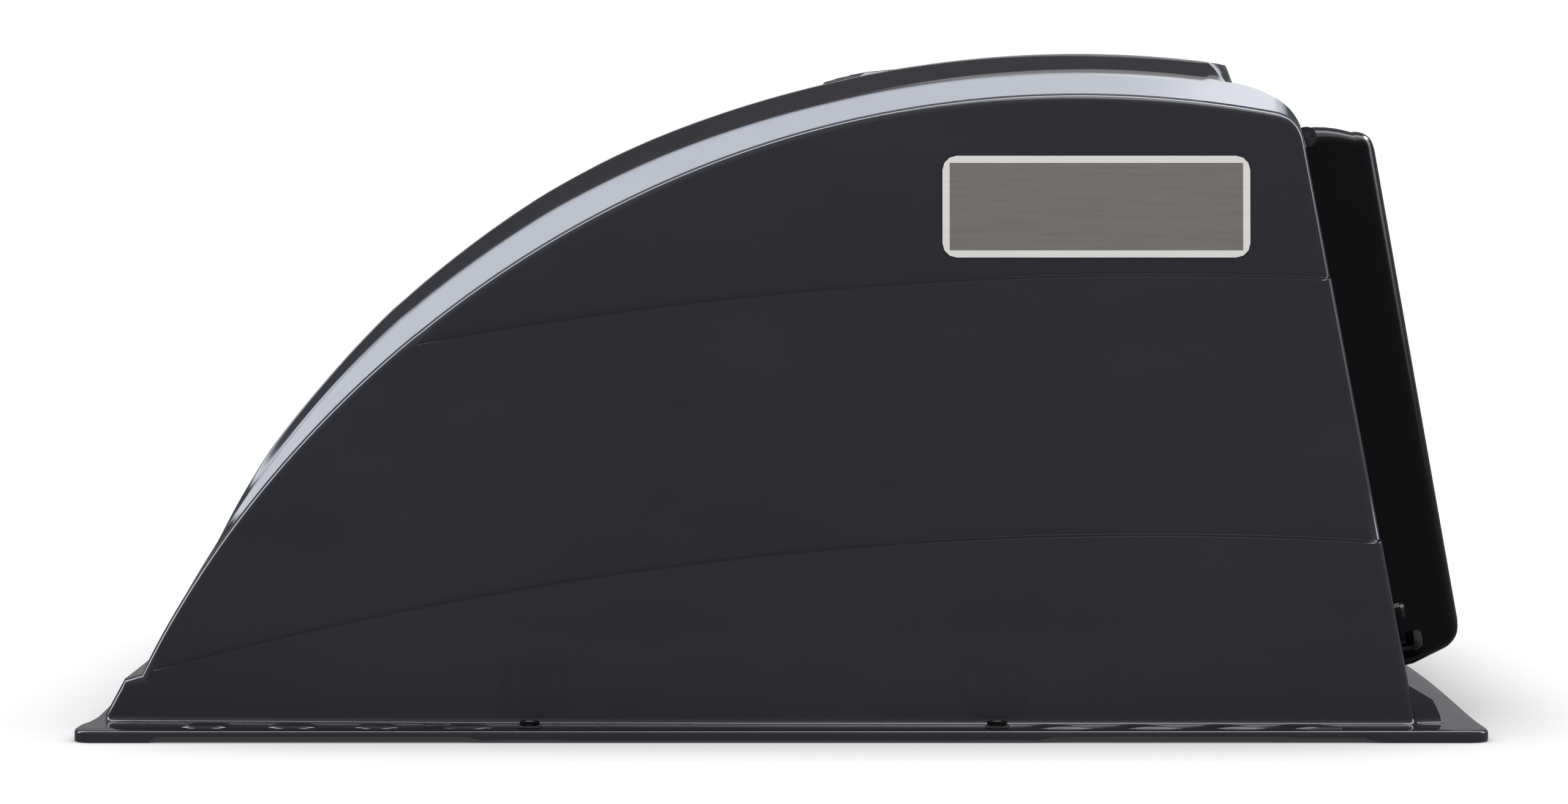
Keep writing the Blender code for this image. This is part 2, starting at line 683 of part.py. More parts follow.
def vent_blades():
    """Slanted louvres across all three windows, and a keeper tab on each side for the buttons."""
    bm = bmesh.new()
    reach = 1.5 * BAY_WIDTH + MULLION + 0.003
    for k in range(LOUVRE_COUNT):
        level = LOUVRE_LOW + k * LOUVRE_PITCH
        edge = Matrix.Translation((flared(VENT_DEPTH, level) - 0.0012, 0.0, level))
        tilt = edge @ Matrix.Rotation(LOUVRE_TILT, 4, "Y")
        box_into(bm, (-LOUVRE_DEPTH, -reach, -LOUVRE_THICK), (0.0, reach, 0.0), AXIS_SHIFT @ tilt)
    for side in (-1, 1):
        low, high = sorted((side * (VENT_HALF_WIDTH - 0.0015), side * KEEPER_TIP))
        box_into(bm, (0.0007, low, BUTTON_P - 0.006), (KEEPER_TOP, high, BUTTON_P + 0.006), AXIS_SHIFT)
    return add_guide(add_object("vent_blades", as_mesh("vent_blades", bm), None, hinge, cutters))


def vent_bores():
    """Bores for the hinge pins and the two finger notches low in the side walls."""
    bm = bmesh.new()
    for side in (-1, 1):
        low, high = sorted((side * (VENT_HALF_WIDTH - 0.012), side * (VENT_HALF_WIDTH + 0.001)))
        cylinder_into(bm, PIN_BORE, (0, low, 0), (0, high, 0), 12)
        box_into(bm, (0.0060, low, -0.0010), (0.0160, high, 0.0075), AXIS_SHIFT)
    return add_guide(add_object("vent_bore_cutter", as_mesh("vent_bore_cutter", bm), None, hinge, cutters))


# ---------------------------------------------------------------- screen
def make_screen():
    low_p, high_p = SCREEN_P
    outer = rounded_rectangle((-SCREEN_HALF_WIDTH, low_p), (SCREEN_HALF_WIDTH, high_p), 0.010)
    ring = SCREEN_HALF_WIDTH - SCREEN_RING
    window = rounded_rectangle((-ring, low_p + SCREEN_RING), (ring, high_p - SCREEN_RING), 0.004)
    bm = plate_mesh("screen_frame", [outer, window], *SCREEN_Q, AXIS_SHIFT @ FACE_ON)
    add_object("screen_frame", as_mesh("screen_frame", bm), BLACK, hinge)
    ring -= GAP
    sheet = rounded_rectangle((-ring, low_p + SCREEN_RING + GAP), (ring, high_p - SCREEN_RING - GAP), 0.004)
    middle = sum(SCREEN_Q) / 2
    bm = plate_mesh("screen_mesh", [sheet], middle - SCREEN_SHEET / 2, middle + SCREEN_SHEET / 2,
                    AXIS_SHIFT @ FACE_ON)
    add_object("screen_mesh", as_mesh("screen_mesh", bm), MESH_GREY, hinge)


# ---------------------------------------------------------------- hinge pins, turn buttons
def make_pin(side, name):
    bm = bmesh.new()
    head = side * (LUG_OUTER + GAP)
    cylinder_into(bm, PIN_RADIUS, (0, side * (VENT_HALF_WIDTH - 0.008), 0), (0, head + side * 0.0010, 0), 12)
    pin = add_object(name, as_mesh(name, bm, radians(40)), DARK_STEEL, hinge)
    cap = bmesh.new()
    cylinder_into(cap, PIN_RADIUS + 0.0014, (0, head, 0), (0, head + side * 0.0016, 0), 12)
    boolean(pin, "UNION", add_guide(add_object(name + "_head", as_mesh(name, cap), None, hinge, cutters)))


def make_button(side, name):
    """A turn button on its screw. At rest it points down, clear of the vent's keeper."""
    pivot = bpy.data.objects.new(name + "_pivot", None)
    pivot.location = (0.0, side * BUTTON_Y, BUTTON_P)
    pivot.parent = rear
    parts.objects.link(pivot)
    tip = -(BUTTON_REACH - BUTTON_HALF)
    arm = arc((0, 0), BUTTON_HALF, 0, pi, 6) + arc((0, tip), BUTTON_HALF, pi, 2 * pi, 6)
    bore = circle((0, 0), BUTTON_SCREW + GAP, 12)
    bm = plate_mesh(name, [arm, bore], *BUTTON_Q, FACE_ON)
    button = add_object(name, as_mesh(name, bm), BLACK, pivot)
    hub = plate_mesh(name, [circle((0, 0), BUTTON_HALF - 0.0004, 12), bore], GAP, BUTTON_Q[0] + 0.0002, FACE_ON)
    boolean(button, "UNION", add_guide(add_object(name + "_hub", as_mesh(name, hub), None, pivot, cutters)))
    turned = bmesh.new()
    cylinder_into(turned, BUTTON_SCREW, (-0.0075, 0, 0), (BUTTON_Q[1] + 0.001, 0, 0), 12)
    screw = add_object(name + "_screw", as_mesh(name + "_screw", turned, radians(40)), DARK_STEEL, pivot)
    head = bmesh.new()
    seat = BUTTON_Q[1] + GAP
    cylinder_into(head, 0.0030, (seat, 0, 0), (seat + 0.0016, 0, 0), 12)
    boolean(screw, "UNION", add_guide(add_object(name + "_head", as_mesh(name, head), None, pivot, cutters)))


# ---------------------------------------------------------------- brackets and their fasteners
def make_bracket(x, side, name):
    """Angle bracket: upright leg against the roof vent's frame, foot leg under the flange, stud up."""
    foot_z = BRACKET_REST
    half = BRACKET_WIDTH / 2
    foot = rounded_rectangle((x - half, BRACKET_FACE_Y), (x + half, BRACKET_REACH), 0.003, 2)
    lay = Matrix.Diagonal((1.0, side, 1.0, 1.0))
    bm = plate_mesh(name, [foot], foot_z, foot_z + BRACKET_THICK, lay)
    bracket = add_object(name, as_mesh(name, bm), ZINC)
    slots = []
    for shift in (-0.0085, 0.0085):
        slots.append(slot((x + shift, foot_z + SLOT_HEIGHT), SLOT_LENGTH, SLOT_WIDTH))
    upright = rounded_rectangle((x - half, foot_z), (x + half, foot_z + BRACKET_HEIGHT), 0.0035, 2)
    stand = Matrix(((1, 0, 0, 0), (0, 0, side, 0), (0, 1, 0, 0), (0, 0, 0, 1)))
    leg = plate_mesh(name, [upright] + slots, BRACKET_FACE_Y, BRACKET_FACE_Y + BRACKET_THICK, stand)
    boolean(bracket, "UNION", add_guide(add_object(name + "_leg", as_mesh(name, leg), None, None, cutters)))
    stud = bmesh.new()
    cylinder_into(stud, STUD_RADIUS, (x, side * STUD_Y, foot_z + 0.0008), (x, side * STUD_Y, STUD_TOP), 12)
    boolean(bracket, "UNION", add_guide(add_object(name + "_stud", as_mesh(name, stud), None, None, cutters)))


def make_stack(x, side, name):
    """Rubber washer and low nut on a bracket's stud."""
    bore = circle((0, 0), STUD_RADIUS + GAP, 12)
    level = FLANGE_TOP + GAP
    seat = Matrix.Translation((x, side * STUD_Y, 0.0))
    for piece, outline, thick, material in (("rubber_washer", circle((0, 0), 0.0052, 16), 0.0006, RUBBER),
                                            ("nut", circle((0, 0), 0.0042, 6), 0.0015, BLACK)):
        bm = plate_mesh(piece, [outline, bore], level, level + thick, seat)
        add_object(f"{piece}_{name}", as_mesh(piece, bm), material)
        level += thick + GAP


# ---------------------------------------------------------------- labels
def make_label(side, name):
    """A plain adhesive label on the upper part of a side wall, parallel to the wall."""
    x, z = LABEL_CENTRE
    wall = half_width(x, z) + GAP
    tilt = atan(WALL_DRAFT)
    seat = Matrix.Translation((x, side * wall, z)) @ Matrix.Rotation(side * tilt, 4, "X")
    stand = Matrix(((1, 0, 0, 0), (0, 0, side, 0), (0, 1, 0, 0), (0, 0, 0, 1)))
    half = (LABEL_SIZE[0] / 2, LABEL_SIZE[1] / 2)
    loop = rounded_rectangle((-half[0], -half[1]), half, LABEL_CORNER)
    bm = plate_mesh(name, [loop], 0.0, LABEL_THICK, seat @ stand)
    add_object(name, as_mesh(name, bm), LABEL)


make_hood()
make_vent()
make_screen()
for side, hand in ((-1, "left"), (1, "right")):
    make_pin(side, f"hinge_pin_{hand}")
    make_button(side, f"turn_button_{hand}")
    make_label(side, f"side_label_{hand}")
    for x, end in zip(BRACKET_X, ("front", "rear")):
        make_bracket(x, side, f"bracket_{end}_{hand}")
        make_stack(x, side, f"{end}_{hand}")
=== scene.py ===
"""Looks of the roof vent cover: fine surfaces, materials, floor, light and camera.

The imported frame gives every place. X is the cover's length (rear at +X), Y its width, Z up, in metres.
"""
import json
from math import atan, cos, pi, radians, sin

import bmesh
import bpy
from mathutils import Matrix, Vector


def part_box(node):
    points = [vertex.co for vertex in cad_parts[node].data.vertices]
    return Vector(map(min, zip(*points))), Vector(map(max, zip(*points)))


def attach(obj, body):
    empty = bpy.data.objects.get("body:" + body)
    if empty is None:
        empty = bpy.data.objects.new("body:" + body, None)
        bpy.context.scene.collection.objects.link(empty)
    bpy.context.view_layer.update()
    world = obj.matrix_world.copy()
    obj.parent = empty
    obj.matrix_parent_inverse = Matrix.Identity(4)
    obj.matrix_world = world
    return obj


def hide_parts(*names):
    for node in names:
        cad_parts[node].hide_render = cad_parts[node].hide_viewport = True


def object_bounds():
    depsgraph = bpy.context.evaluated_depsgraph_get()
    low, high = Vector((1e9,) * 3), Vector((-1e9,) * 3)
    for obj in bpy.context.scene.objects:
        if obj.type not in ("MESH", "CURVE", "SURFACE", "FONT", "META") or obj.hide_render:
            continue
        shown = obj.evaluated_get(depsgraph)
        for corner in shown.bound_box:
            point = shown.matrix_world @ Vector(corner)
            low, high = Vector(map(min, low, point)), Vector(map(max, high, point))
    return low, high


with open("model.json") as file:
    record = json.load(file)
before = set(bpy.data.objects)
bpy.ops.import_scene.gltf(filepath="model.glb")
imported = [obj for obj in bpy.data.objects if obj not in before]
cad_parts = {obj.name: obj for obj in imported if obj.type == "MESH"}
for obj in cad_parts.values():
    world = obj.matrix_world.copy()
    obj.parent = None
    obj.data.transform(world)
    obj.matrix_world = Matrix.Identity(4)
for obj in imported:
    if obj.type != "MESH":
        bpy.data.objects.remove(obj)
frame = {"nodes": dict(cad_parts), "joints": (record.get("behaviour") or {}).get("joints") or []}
cad_low, cad_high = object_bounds()
nodes = frame["nodes"]

# ---------------------------------------------------------------- sizes, from the frame where it has them
hood_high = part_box("hood")[1]
label_low, label_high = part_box("side_label_left")
joint = {j["name"]: j for j in frame["joints"]}
hinge_at = Vector(joint["rear_vent_hinge"]["pos_m"])
button_at = Vector(joint["right_button_turn"]["pos_m"])
face_normal = Vector(joint["left_button_turn"]["axis"]).normalized()

# flange round the hood's foot
FLANGE_BOW = 0.006                    # the ends bulge outward by this much
FLANGE_HALF_LENGTH = hood_high.x - FLANGE_BOW
FLANGE_HALF_WIDTH = hood_high.y
FLANGE_CORNER = 0.008
EAR_RECESS = 0.003                    # the nose's corners stand out as small ears
FLANGE_TOP = 0.0050
SHELL = 0.0025                        # wall thickness
FOOT_Z = 0.0078                       # where the body's walls start
FILLET = 0.0022
RIM_STEPS = ((-0.261, 0.0, 0.0026), (-0.126, 0.0026, 0.0010), (0.110, 0.0010, 0.0026),
             (0.211, 0.0026, 0.0021), (0.245, 0.0021, 0.0))      # x, rim's height before and after
RIM_RAMP = 0.003

# body
EDGE_RADIUS = 0.0040                  # between the side wall and the roof
BODY_HALF_WIDTH = FLANGE_HALF_WIDTH - 0.0215
NOSE_TAPER = 0.010
TAPER_START = 0.060
WALL_DRAFT = 0.018
LEDGE = 0.0030                        # inward step of the side wall at each step line
LEDGE_RISE = 0.0012
NOSE_FOOT_X = -0.286
NOSE_STEP_X = -0.278
NOSE_LEDGE_X = -0.2705
ROOF_CURVE = ((-0.2690, 0.0290), (-0.2085, 0.1490), (-0.0640, 0.2706), (0.1263, 0.2706))
REAR_CURVE = ((0.1263, 0.2706), (0.1600, 0.2706), (0.1880, 0.2668), (0.2090, 0.2630))
REAR_FOOT_X = 0.2665
REAR_SLOPE = face_normal.z / face_normal.x
LEAN = atan(REAR_SLOPE)
ROLL_HEIGHT = 0.2500                  # the roof has rolled over into the rear face here
SILL_TOP, SILL_KNEE = 0.0200, 0.0140  # sill across the foot of the rear face
SILL_OUT, SILL_FOOT_OUT = 0.0090, 0.0110

# relief of the roof: a chamfer along each side, a wide panel between, a low pad on the panel
SHOULDER_RISE = 0.0098                # height of the chamfer
SHOULDER_SLOPE = 0.93                 # its rise per metre of width
SHOULDER_LEAST = 0.0025               # its width where it fades out at the nose
PANEL_STEP = 0.0077
PANEL_REAR_X = 0.1910
PANEL_CORNER = 0.010
PAD_HALF_WIDTH = 0.1100
PAD_STEP = 0.0026
PAD_LIP = 0.0014                      # the front end of the pad is higher by this much
PAD_FRONT_X = 0.0240
PAD_REAR_X = 0.1760
PAD_CORNER = 0.022
STEP_RUN = 0.0030                     # width of the slope round the panel and the pad
PANEL_CROWN = 0.0015
LEVEL_X = 0.030                       # in front of this the relief fades with height, behind it with x
REAR_FADE = ((0.196, 1.0), (0.203, 0.90), (0.214, 0.50), (0.2195, 0.26), (0.2240, 0.08), (0.230, 0.0))
SHOULDER_FADE = ((0.055, 0.0), (0.080, 0.12), (0.167, 0.97), (0.212, 1.17), (0.235, 1.13), (0.258, 1.0))
PANEL_FADE = ((0.076, 0.0), (0.114, 0.48), (0.140, 0.55), (0.226, 1.0))

# rear vent, in the rear face's frame: q out of the face, p up the face
VENT_WALL = 0.0024
VENT_HALF_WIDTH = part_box("screen_mesh")[1].y + 0.0143
VENT_DEPTH = 0.0333
VENT_FLARE = 0.29                     # it grows deeper toward its top
VENT_TOP, VENT_BOTTOM = 0.2300, -0.0080
VENT_CORNER = 0.008
VENT_EDGE = 0.0085                    # round between its sides and its face
VENT_INSET, VENT_DROP = 0.0006, 0.0055
HINGE_Q, HINGE_P = 0.0046, 0.2258
KNUCKLE = 0.0042
PIN_BORE = 0.0022
LUG_INNER, LUG_OUTER, LUG_RADIUS = 0.1712, 0.1782, 0.0044
BUTTON_Y = button_at.y
BUTTON_P = 0.0190
LOUVRE_COUNT, LOUVRE_PITCH, LOUVRE_LOW = 10, 0.0205, 0.0150
LOUVRE_THICK, LOUVRE_DEPTH, LOUVRE_TILT = 0.0018, 0.0200, radians(38)
BAY_WIDTH, MULLION, BAY_LOW, BAY_HIGH = 0.1000, 0.0070, 0.0080, 0.2130
OPENING_HALF_WIDTH, OPENING_LOW, OPENING_HIGH, OPENING_CORNER = 0.1580, 0.004, 0.214, 0.012
KEEPER_TIP, KEEPER_TOP = 0.1800, 0.0031
STUD_HOLE = 0.0026
LABEL_BORDER = 0.0030

# stage: levels are (elevation in degrees, brightness) of what the glossy plastic reflects
FLOOR_GLOW = 0.93
CONTACT_REACH = 0.10                  # the contact shadow's reach
SEE_THROUGH = 0.05
STRIP_LEVEL = (9.2, 9.7, 10.7, 1.0)
STRIP_PLACE = 0.10
STRIP_CORE = 0.08
STRIP_WIDTH = 0.22
FAR_LEVELS = ((-90, 0.20), (-5, 0.22), (9, 0.30), (35, 0.45), (90, 0.5))
NEAR_LEVELS = ((-90, 0.26), (-12, 0.26), (0, 0.30), (12, 0.34), (50, 0.7), (90, 0.6))
CAMERA_LENS = 83.2
CAMERA_PLACE = (0.0062, -1.738, 0.204)
CAMERA_SHIFT = (-0.0078, -0.0967)

# resolution of the fine hood
ROOF_STEPS = 84
REAR_STEPS = 16
EDGE_STEPS = 6
ROLL_STEPS = 8


def smoothstep(value):
    value = min(max(value, 0.0), 1.0)
    return value * value * (3 - 2 * value)


# ---------------------------------------------------------------- mesh helpers
def add_object(name, mesh, material=None, matrix=None):
    thing = bpy.data.objects.new(name, mesh)
    bpy.context.scene.collection.objects.link(thing)
    if material:
        mesh.materials.append(material)
    if matrix is not None:
        thing.matrix_world = matrix
    return thing


def as_mesh(name, bm):
    mesh = bpy.data.meshes.new(name)
    bm.to_mesh(mesh)
    bm.free()
    return mesh


def shade(mesh, degrees=32):
    mesh.shade_smooth()
    mesh.set_sharp_from_angle(angle=radians(degrees))


def box_into(bm, low, high, matrix=None):
    size = Vector(high) - Vector(low)
    centre = (Vector(high) + Vector(low)) / 2
    place = Matrix.Translation(centre) @ Matrix.Diagonal((*size, 1.0))
    bmesh.ops.create_cube(bm, size=1.0, matrix=(matrix or Matrix()) @ place)


def cylinder_into(bm, radius, start, end, segments=32):
    start, end = Vector(start), Vector(end)
    along = end - start
    place = Matrix.Translation((start + end) / 2) @ along.to_track_quat("Z", "Y").to_matrix().to_4x4()
    bmesh.ops.create_cone(bm, cap_ends=True, segments=segments, radius1=radius, radius2=radius,
                          depth=along.length, matrix=place)


def arc(centre, radius, start, end, steps):
    turn = [start + (end - start) * i / steps for i in range(steps + 1)]
    return [(centre[0] + radius * cos(a), centre[1] + radius * sin(a)) for a in turn]


def rounded_rectangle(low, high, radius, steps=6):
    corners = (((high[0] - radius, high[1] - radius), 0.0), ((low[0] + radius, high[1] - radius), 0.5),
               ((low[0] + radius, low[1] + radius), 1.0), ((high[0] - radius, low[1] + radius), 1.5))
    return [point for centre, turn in corners
            for point in arc(centre, radius, turn * pi, (turn + 0.5) * pi, steps)]


def prism_into(bm, loop, low, high, axes):
    """A solid from one closed outline in the plane of axes, between two heights along its normal."""
    rings = []
    for height in (low, high):
        rings.append([bm.verts.new(axes @ Vector((u, v, height))) for u, v in loop])
    faces = [bm.faces.new(rings[0]), bm.faces.new(rings[1])]
    for i in range(len(loop)):
        k = (i + 1) % len(loop)
        faces.append(bm.faces.new((rings[0][i], rings[0][k], rings[1][k], rings[1][i])))
    bmesh.ops.recalc_face_normals(bm, faces=faces)


def boolean(thing, operation, bm, matrix=None):
    """Joins or cuts a solid into thing, and drops the solid."""
    other = add_object(thing.name + "_tool", as_mesh("tool", bm), None, matrix)
    modifier = thing.modifiers.new("tool", "BOOLEAN")
    modifier.operation = operation
    modifier.solver = "EXACT"
    modifier.object = other
    apply_modifiers(thing)
    bpy.data.objects.remove(other)


def apply_modifiers(thing):
    bpy.context.view_layer.update()
    graph = bpy.context.evaluated_depsgraph_get()
    mesh = bpy.data.meshes.new_from_object(thing.evaluated_get(graph))
    thing.modifiers.clear()
    thing.data = mesh


# ---------------------------------------------------------------- hood surface
def lower_step(x):
    return 0.0758 + 0.1008 * x - 0.3255 * x * x


def upper_step(x):
    return 0.1853 + 0.0936 * x - 0.2932 * x * x


def half_width(x, z):
    taper = NOSE_TAPER * (max(TAPER_START - x, 0.0) / (TAPER_START - NOSE_FOOT_X)) ** 2
    steps = smoothstep((z - lower_step(x)) / LEDGE_RISE) + smoothstep((z - upper_step(x)) / LEDGE_RISE)
    return BODY_HALF_WIDTH - taper - WALL_DRAFT * (z - FOOT_Z) - LEDGE * steps


def rear_face_x(z):
    return REAR_FOOT_X - REAR_SLOPE * (z - FOOT_Z)


def bezier(curve, t):
    weights = ((1 - t) ** 3, 3 * t * (1 - t) ** 2, 3 * t * t * (1 - t), t ** 3)
    return tuple(sum(w * point[i] for w, point in zip(weights, curve)) for i in (0, 1))


def bulge(y):
    return max(1 - (y / (FLANGE_HALF_WIDTH - 0.025)) ** 2, 0.0) ** 1.5


def end_bow(end, y):
    """How far the flange's end stands out in X: a plain bow at the rear, with ears at the nose's corners."""
    if end > 0:
        return FLANGE_BOW * bulge(y)
    return EAR_RECESS * smoothstep((FLANGE_HALF_WIDTH - 0.018 - abs(y)) / 0.018) - (
        FLANGE_BOW + EAR_RECESS) * bulge(y)


def rim_height(x):
    """Height of the flange's lower rim: low at the corners, raised in stretches between."""
    height = RIM_STEPS[0][1]
    for place, before, after in RIM_STEPS:
        height += (after - before) * smoothstep((x - place) / RIM_RAMP + 0.5)
    return height


def fade(stages, place):
    """Share of the roof relief at a height or a length: straight lines between the stages."""
    for (low, before), (high, after) in zip(stages, stages[1:]):
        if place < high:
            return before + (after - before) * max(place - low, 0.0) / (high - low)
    return stages[-1][1]


def ramp(share, soft=0.16):
    """A straight rise from 0 to 1 with a small round at its foot and its top."""
    if share <= -soft:
        return 0.0
    if share < soft:
        return (share + soft) ** 2 / (4 * soft)
    if share < 1 - soft:
        return share
    if share < 1 + soft:
        return 1 - (1 + soft - share) ** 2 / (4 * soft)
    return 1.0


def tile(x, y, low_x, high_x, half_y, corner):
    """1 inside a rounded rectangle in plan, 0 beyond STEP_RUN outside it, a ramp between."""
    centre_x, half_x = (low_x + high_x) / 2, (high_x - low_x) / 2
    dx, dy = abs(x - centre_x) - half_x + corner, abs(y) - half_y + corner
    outside = Vector((max(dx, 0.0), max(dy, 0.0))).length + min(max(dx, dy), 0.0) - corner
    return ramp(1 - outside / STEP_RUN)


def shoulder_rise(x, z):
    return SHOULDER_RISE * (fade(SHOULDER_FADE, z) if x < LEVEL_X else fade(REAR_FADE, x))


def panel_foot(x, z, inner, kind):
    """Distance of the panel's foot from the middle plane: the chamfer runs from inner to here."""
    rise = SHOULDER_RISE if kind == "rear" else shoulder_rise(x, z)
    return inner - max(rise / SHOULDER_SLOPE, SHOULDER_LEAST)


def roof_rise(x, z, y, inner, kind):
    """Height of the roof relief over the side edge's own level, y from the middle plane."""
    if kind in ("nose", "rear"):
        return 0.0
    foot = panel_foot(x, z, inner, kind)
    half = foot - STEP_RUN
    shoulder = shoulder_rise(x, z) * min((inner - y) / (inner - foot), 1.0)
    panel = tile(x, y, -1.0, PANEL_REAR_X, half, PANEL_CORNER)
    crown = PANEL_CROWN * panel * max(1 - (y / half) ** 2, 0.0)
    lip = PAD_LIP * smoothstep((PAD_FRONT_X + 0.030 - x) / 0.015)
    pad = (PAD_STEP + lip) * tile(x, y, PAD_FRONT_X, PAD_REAR_X, PAD_HALF_WIDTH, PAD_CORNER)
    return shoulder + fade(PANEL_FADE, z) * (PANEL_STEP * panel + crown + pad)


def profile():
    """Side outline from the nose's foot over the roof to the rear's foot: (x, z, kind)."""
    step = lower_step(NOSE_STEP_X)
    points = [(NOSE_FOOT_X + (NOSE_STEP_X - NOSE_FOOT_X) * share, FOOT_Z + (step - FOOT_Z) * share, "nose")
              for share in (0.0, 0.25, 0.5, 0.75)]
    points += [(NOSE_STEP_X, step, "nose"), (NOSE_LEDGE_X, lower_step(NOSE_LEDGE_X), "nose")]
    roof = [bezier(ROOF_CURVE, i / ROOF_STEPS) for i in range(ROOF_STEPS)]
    roof += [bezier(REAR_CURVE, i / REAR_STEPS) for i in range(REAR_STEPS)]
    for edge in (PAD_FRONT_X - STEP_RUN, PAD_REAR_X, PANEL_REAR_X):
        roof += [(edge + STEP_RUN * k / 4, roof_height(edge + STEP_RUN * k / 4)) for k in range(-1, 6)]
    for point in sorted(roof):
        if point[0] - points[-1][0] > 0.0006 or point[0] < ROOF_CURVE[1][0]:
            points.append((*point, "roof"))
    start, end = REAR_CURVE[-1], (rear_face_x(ROLL_HEIGHT), ROLL_HEIGHT)
    corner = (rear_face_x(start[1] - 0.002), start[1] - 0.002)
    for i in range(ROLL_STEPS + 1):
        t = i / ROLL_STEPS
        x, z = ((1 - t) ** 2 * a + 2 * t * (1 - t) * c + t * t * b
                for a, c, b in zip(start, corner, end))
        points.append((x, z, "roll"))
    lift = EDGE_RADIUS * sin(LEAN)
    for level in rear_levels():
        points.append((rear_face_x(level + lift), level + lift, "rear"))
    points.append((REAR_FOOT_X, FOOT_Z, "rear"))
    return points


def rear_levels():
    """Heights of the side wall's rows along its rear edge, from the top down."""
    x = REAR_FOOT_X - 0.030
    upper, lower = upper_step(x), lower_step(x + 0.015)
    levels = [upper + 0.030, upper + 0.010]
    levels += [upper + LEDGE_RISE * k / 4 for k in (5, 4, 3, 2, 1, 0, -1)]
    levels += [lower + (upper - lower) * share for share in (0.8, 0.6, 0.4, 0.2)]
    levels += [lower + LEDGE_RISE * k / 4 for k in (5, 4, 3, 2, 1, 0, -1)]
    levels += [0.060, 0.040, SILL_TOP + 0.002, SILL_TOP, SILL_KNEE, SILL_KNEE - 0.003]
    return levels


def wall_levels():
    """The same rows for the whole wall, from the foot up: functions of x."""
    def level(z):
        return lambda x: z

    def near(step, rise):
        return lambda x: step(x) + rise

    def between(share):
        return lambda x: lower_step(x) + (upper_step(x) - lower_step(x)) * share
    rows = [level(SILL_KNEE - 0.003), level(SILL_KNEE), level(SILL_TOP), level(SILL_TOP + 0.002)]
    rows += [lambda x: min(0.040, lower_step(x) - 0.0006), lambda x: min(0.060, lower_step(x) - 0.0005)]
    rows += [near(lower_step, LEDGE_RISE * k / 4) for k in (-1, 0, 1, 2, 3, 4, 5)]
    rows += [between(share) for share in (0.2, 0.4, 0.6, 0.8)]
    rows += [near(upper_step, LEDGE_RISE * k / 4) for k in (-1, 0, 1, 2, 3, 4, 5)]
    return rows + [near(upper_step, 0.010), near(upper_step, 0.030)]


def roof_height(x):
    """The side outline's height at x, by halving."""
    curve = ROOF_CURVE if x < REAR_CURVE[0][0] else REAR_CURVE
    low, high = 0.0, 1.0
    for _ in range(40):
        middle = (low + high) / 2
        if bezier(curve, middle)[0] < x:
            low = middle
        else:
            high = middle
    return bezier(curve, low)[1]


def outward(points):
    """The outline's outward direction at each of its points."""
    normals = []
    for i in range(len(points)):
        before = Vector(points[max(i - 1, 0)][:2])
        after = Vector(points[min(i + 1, len(points) - 1)][:2])
        along = (after - before).normalized()
        normals.append(Vector((-along.y, along.x)))
    normals[0] = Vector((-1.0, 0.0))
    normals[-1] = Vector((1.0, 0.0))
    return normals


def across_stations(inner, foot, kind):
    """Distances from the middle plane of one roof row's points, from the edge inward."""
    stations = [foot + (inner - foot) * share for share in (0.94, 0.8, 0.6, 0.4, 0.2, 0.08, 0.0)]
    if kind == "rear":
        stations[0] = inner - 0.0012
    slope = (0.92, 0.84, 0.5, 0.16, 0.08, 0.0, -0.08, -0.16)
    high = foot - STEP_RUN * 1.16
    stations += [foot + STEP_RUN * (share - 1) for share in slope]
    slope = (1.16, 1.08, 1.0, 0.92, 0.84, 0.5, 0.16, 0.08, 0.0, -0.08, -0.16)
    low = PAD_HALF_WIDTH + STEP_RUN * 1.16
    stations += [low + (high - low) * share for share in (0.98, 0.95, 0.92, 0.89, 0.86, 0.7, 0.5, 0.34, 0.17)]
    stations += [PAD_HALF_WIDTH + STEP_RUN * share for share in slope]
    return stations + [PAD_HALF_WIDTH * share for share in (0.95, 0.9, 0.86, 0.82, 0.6, 0.4, 0.2, 0.0)]


def roof_row(x, z, kind, normal):
    """One line of points across half of the roof, from the side wall to the middle plane."""
    wall_x, wall_z = x - EDGE_RADIUS * normal.x, z - EDGE_RADIUS * normal.y
    edge = half_width(wall_x, wall_z)
    row = []
    for i in range(EDGE_STEPS + 1):
        angle = pi / 2 * i / EDGE_STEPS
        sink = EDGE_RADIUS * (1 - sin(angle))
        row.append(Vector((x - sink * normal.x, -edge + EDGE_RADIUS * (1 - cos(angle)), z - sink * normal.y)))
    inner = edge - EDGE_RADIUS
    lift = Vector((min(normal.x, 0.0), normal.y)).normalized() if kind != "rear" else Vector((0.0, 1.0))
    for y in across_stations(inner, panel_foot(x, z, inner, kind), kind):
        rise = roof_rise(x, z, y, inner, kind)
        row.append(Vector((x + rise * lift.x, -y, z + rise * lift.y)))
    for point in row:
        if point.x < -0.100:
            point.x -= FLANGE_BOW * bulge(point.y) * ((-0.100 - point.x) / 0.190) ** 2
        if kind == "roll":
            point.x = min(point.x, rear_face_x(point.z))
        if kind == "rear" and abs(point.y) < inner - 0.0010 and point.z < SILL_KNEE + 0.002:
            share = smoothstep((SILL_KNEE + 0.001 - point.z) / (SILL_KNEE - FOOT_Z))
            point.x += SILL_OUT + (SILL_FOOT_OUT - SILL_OUT) * share
    return row


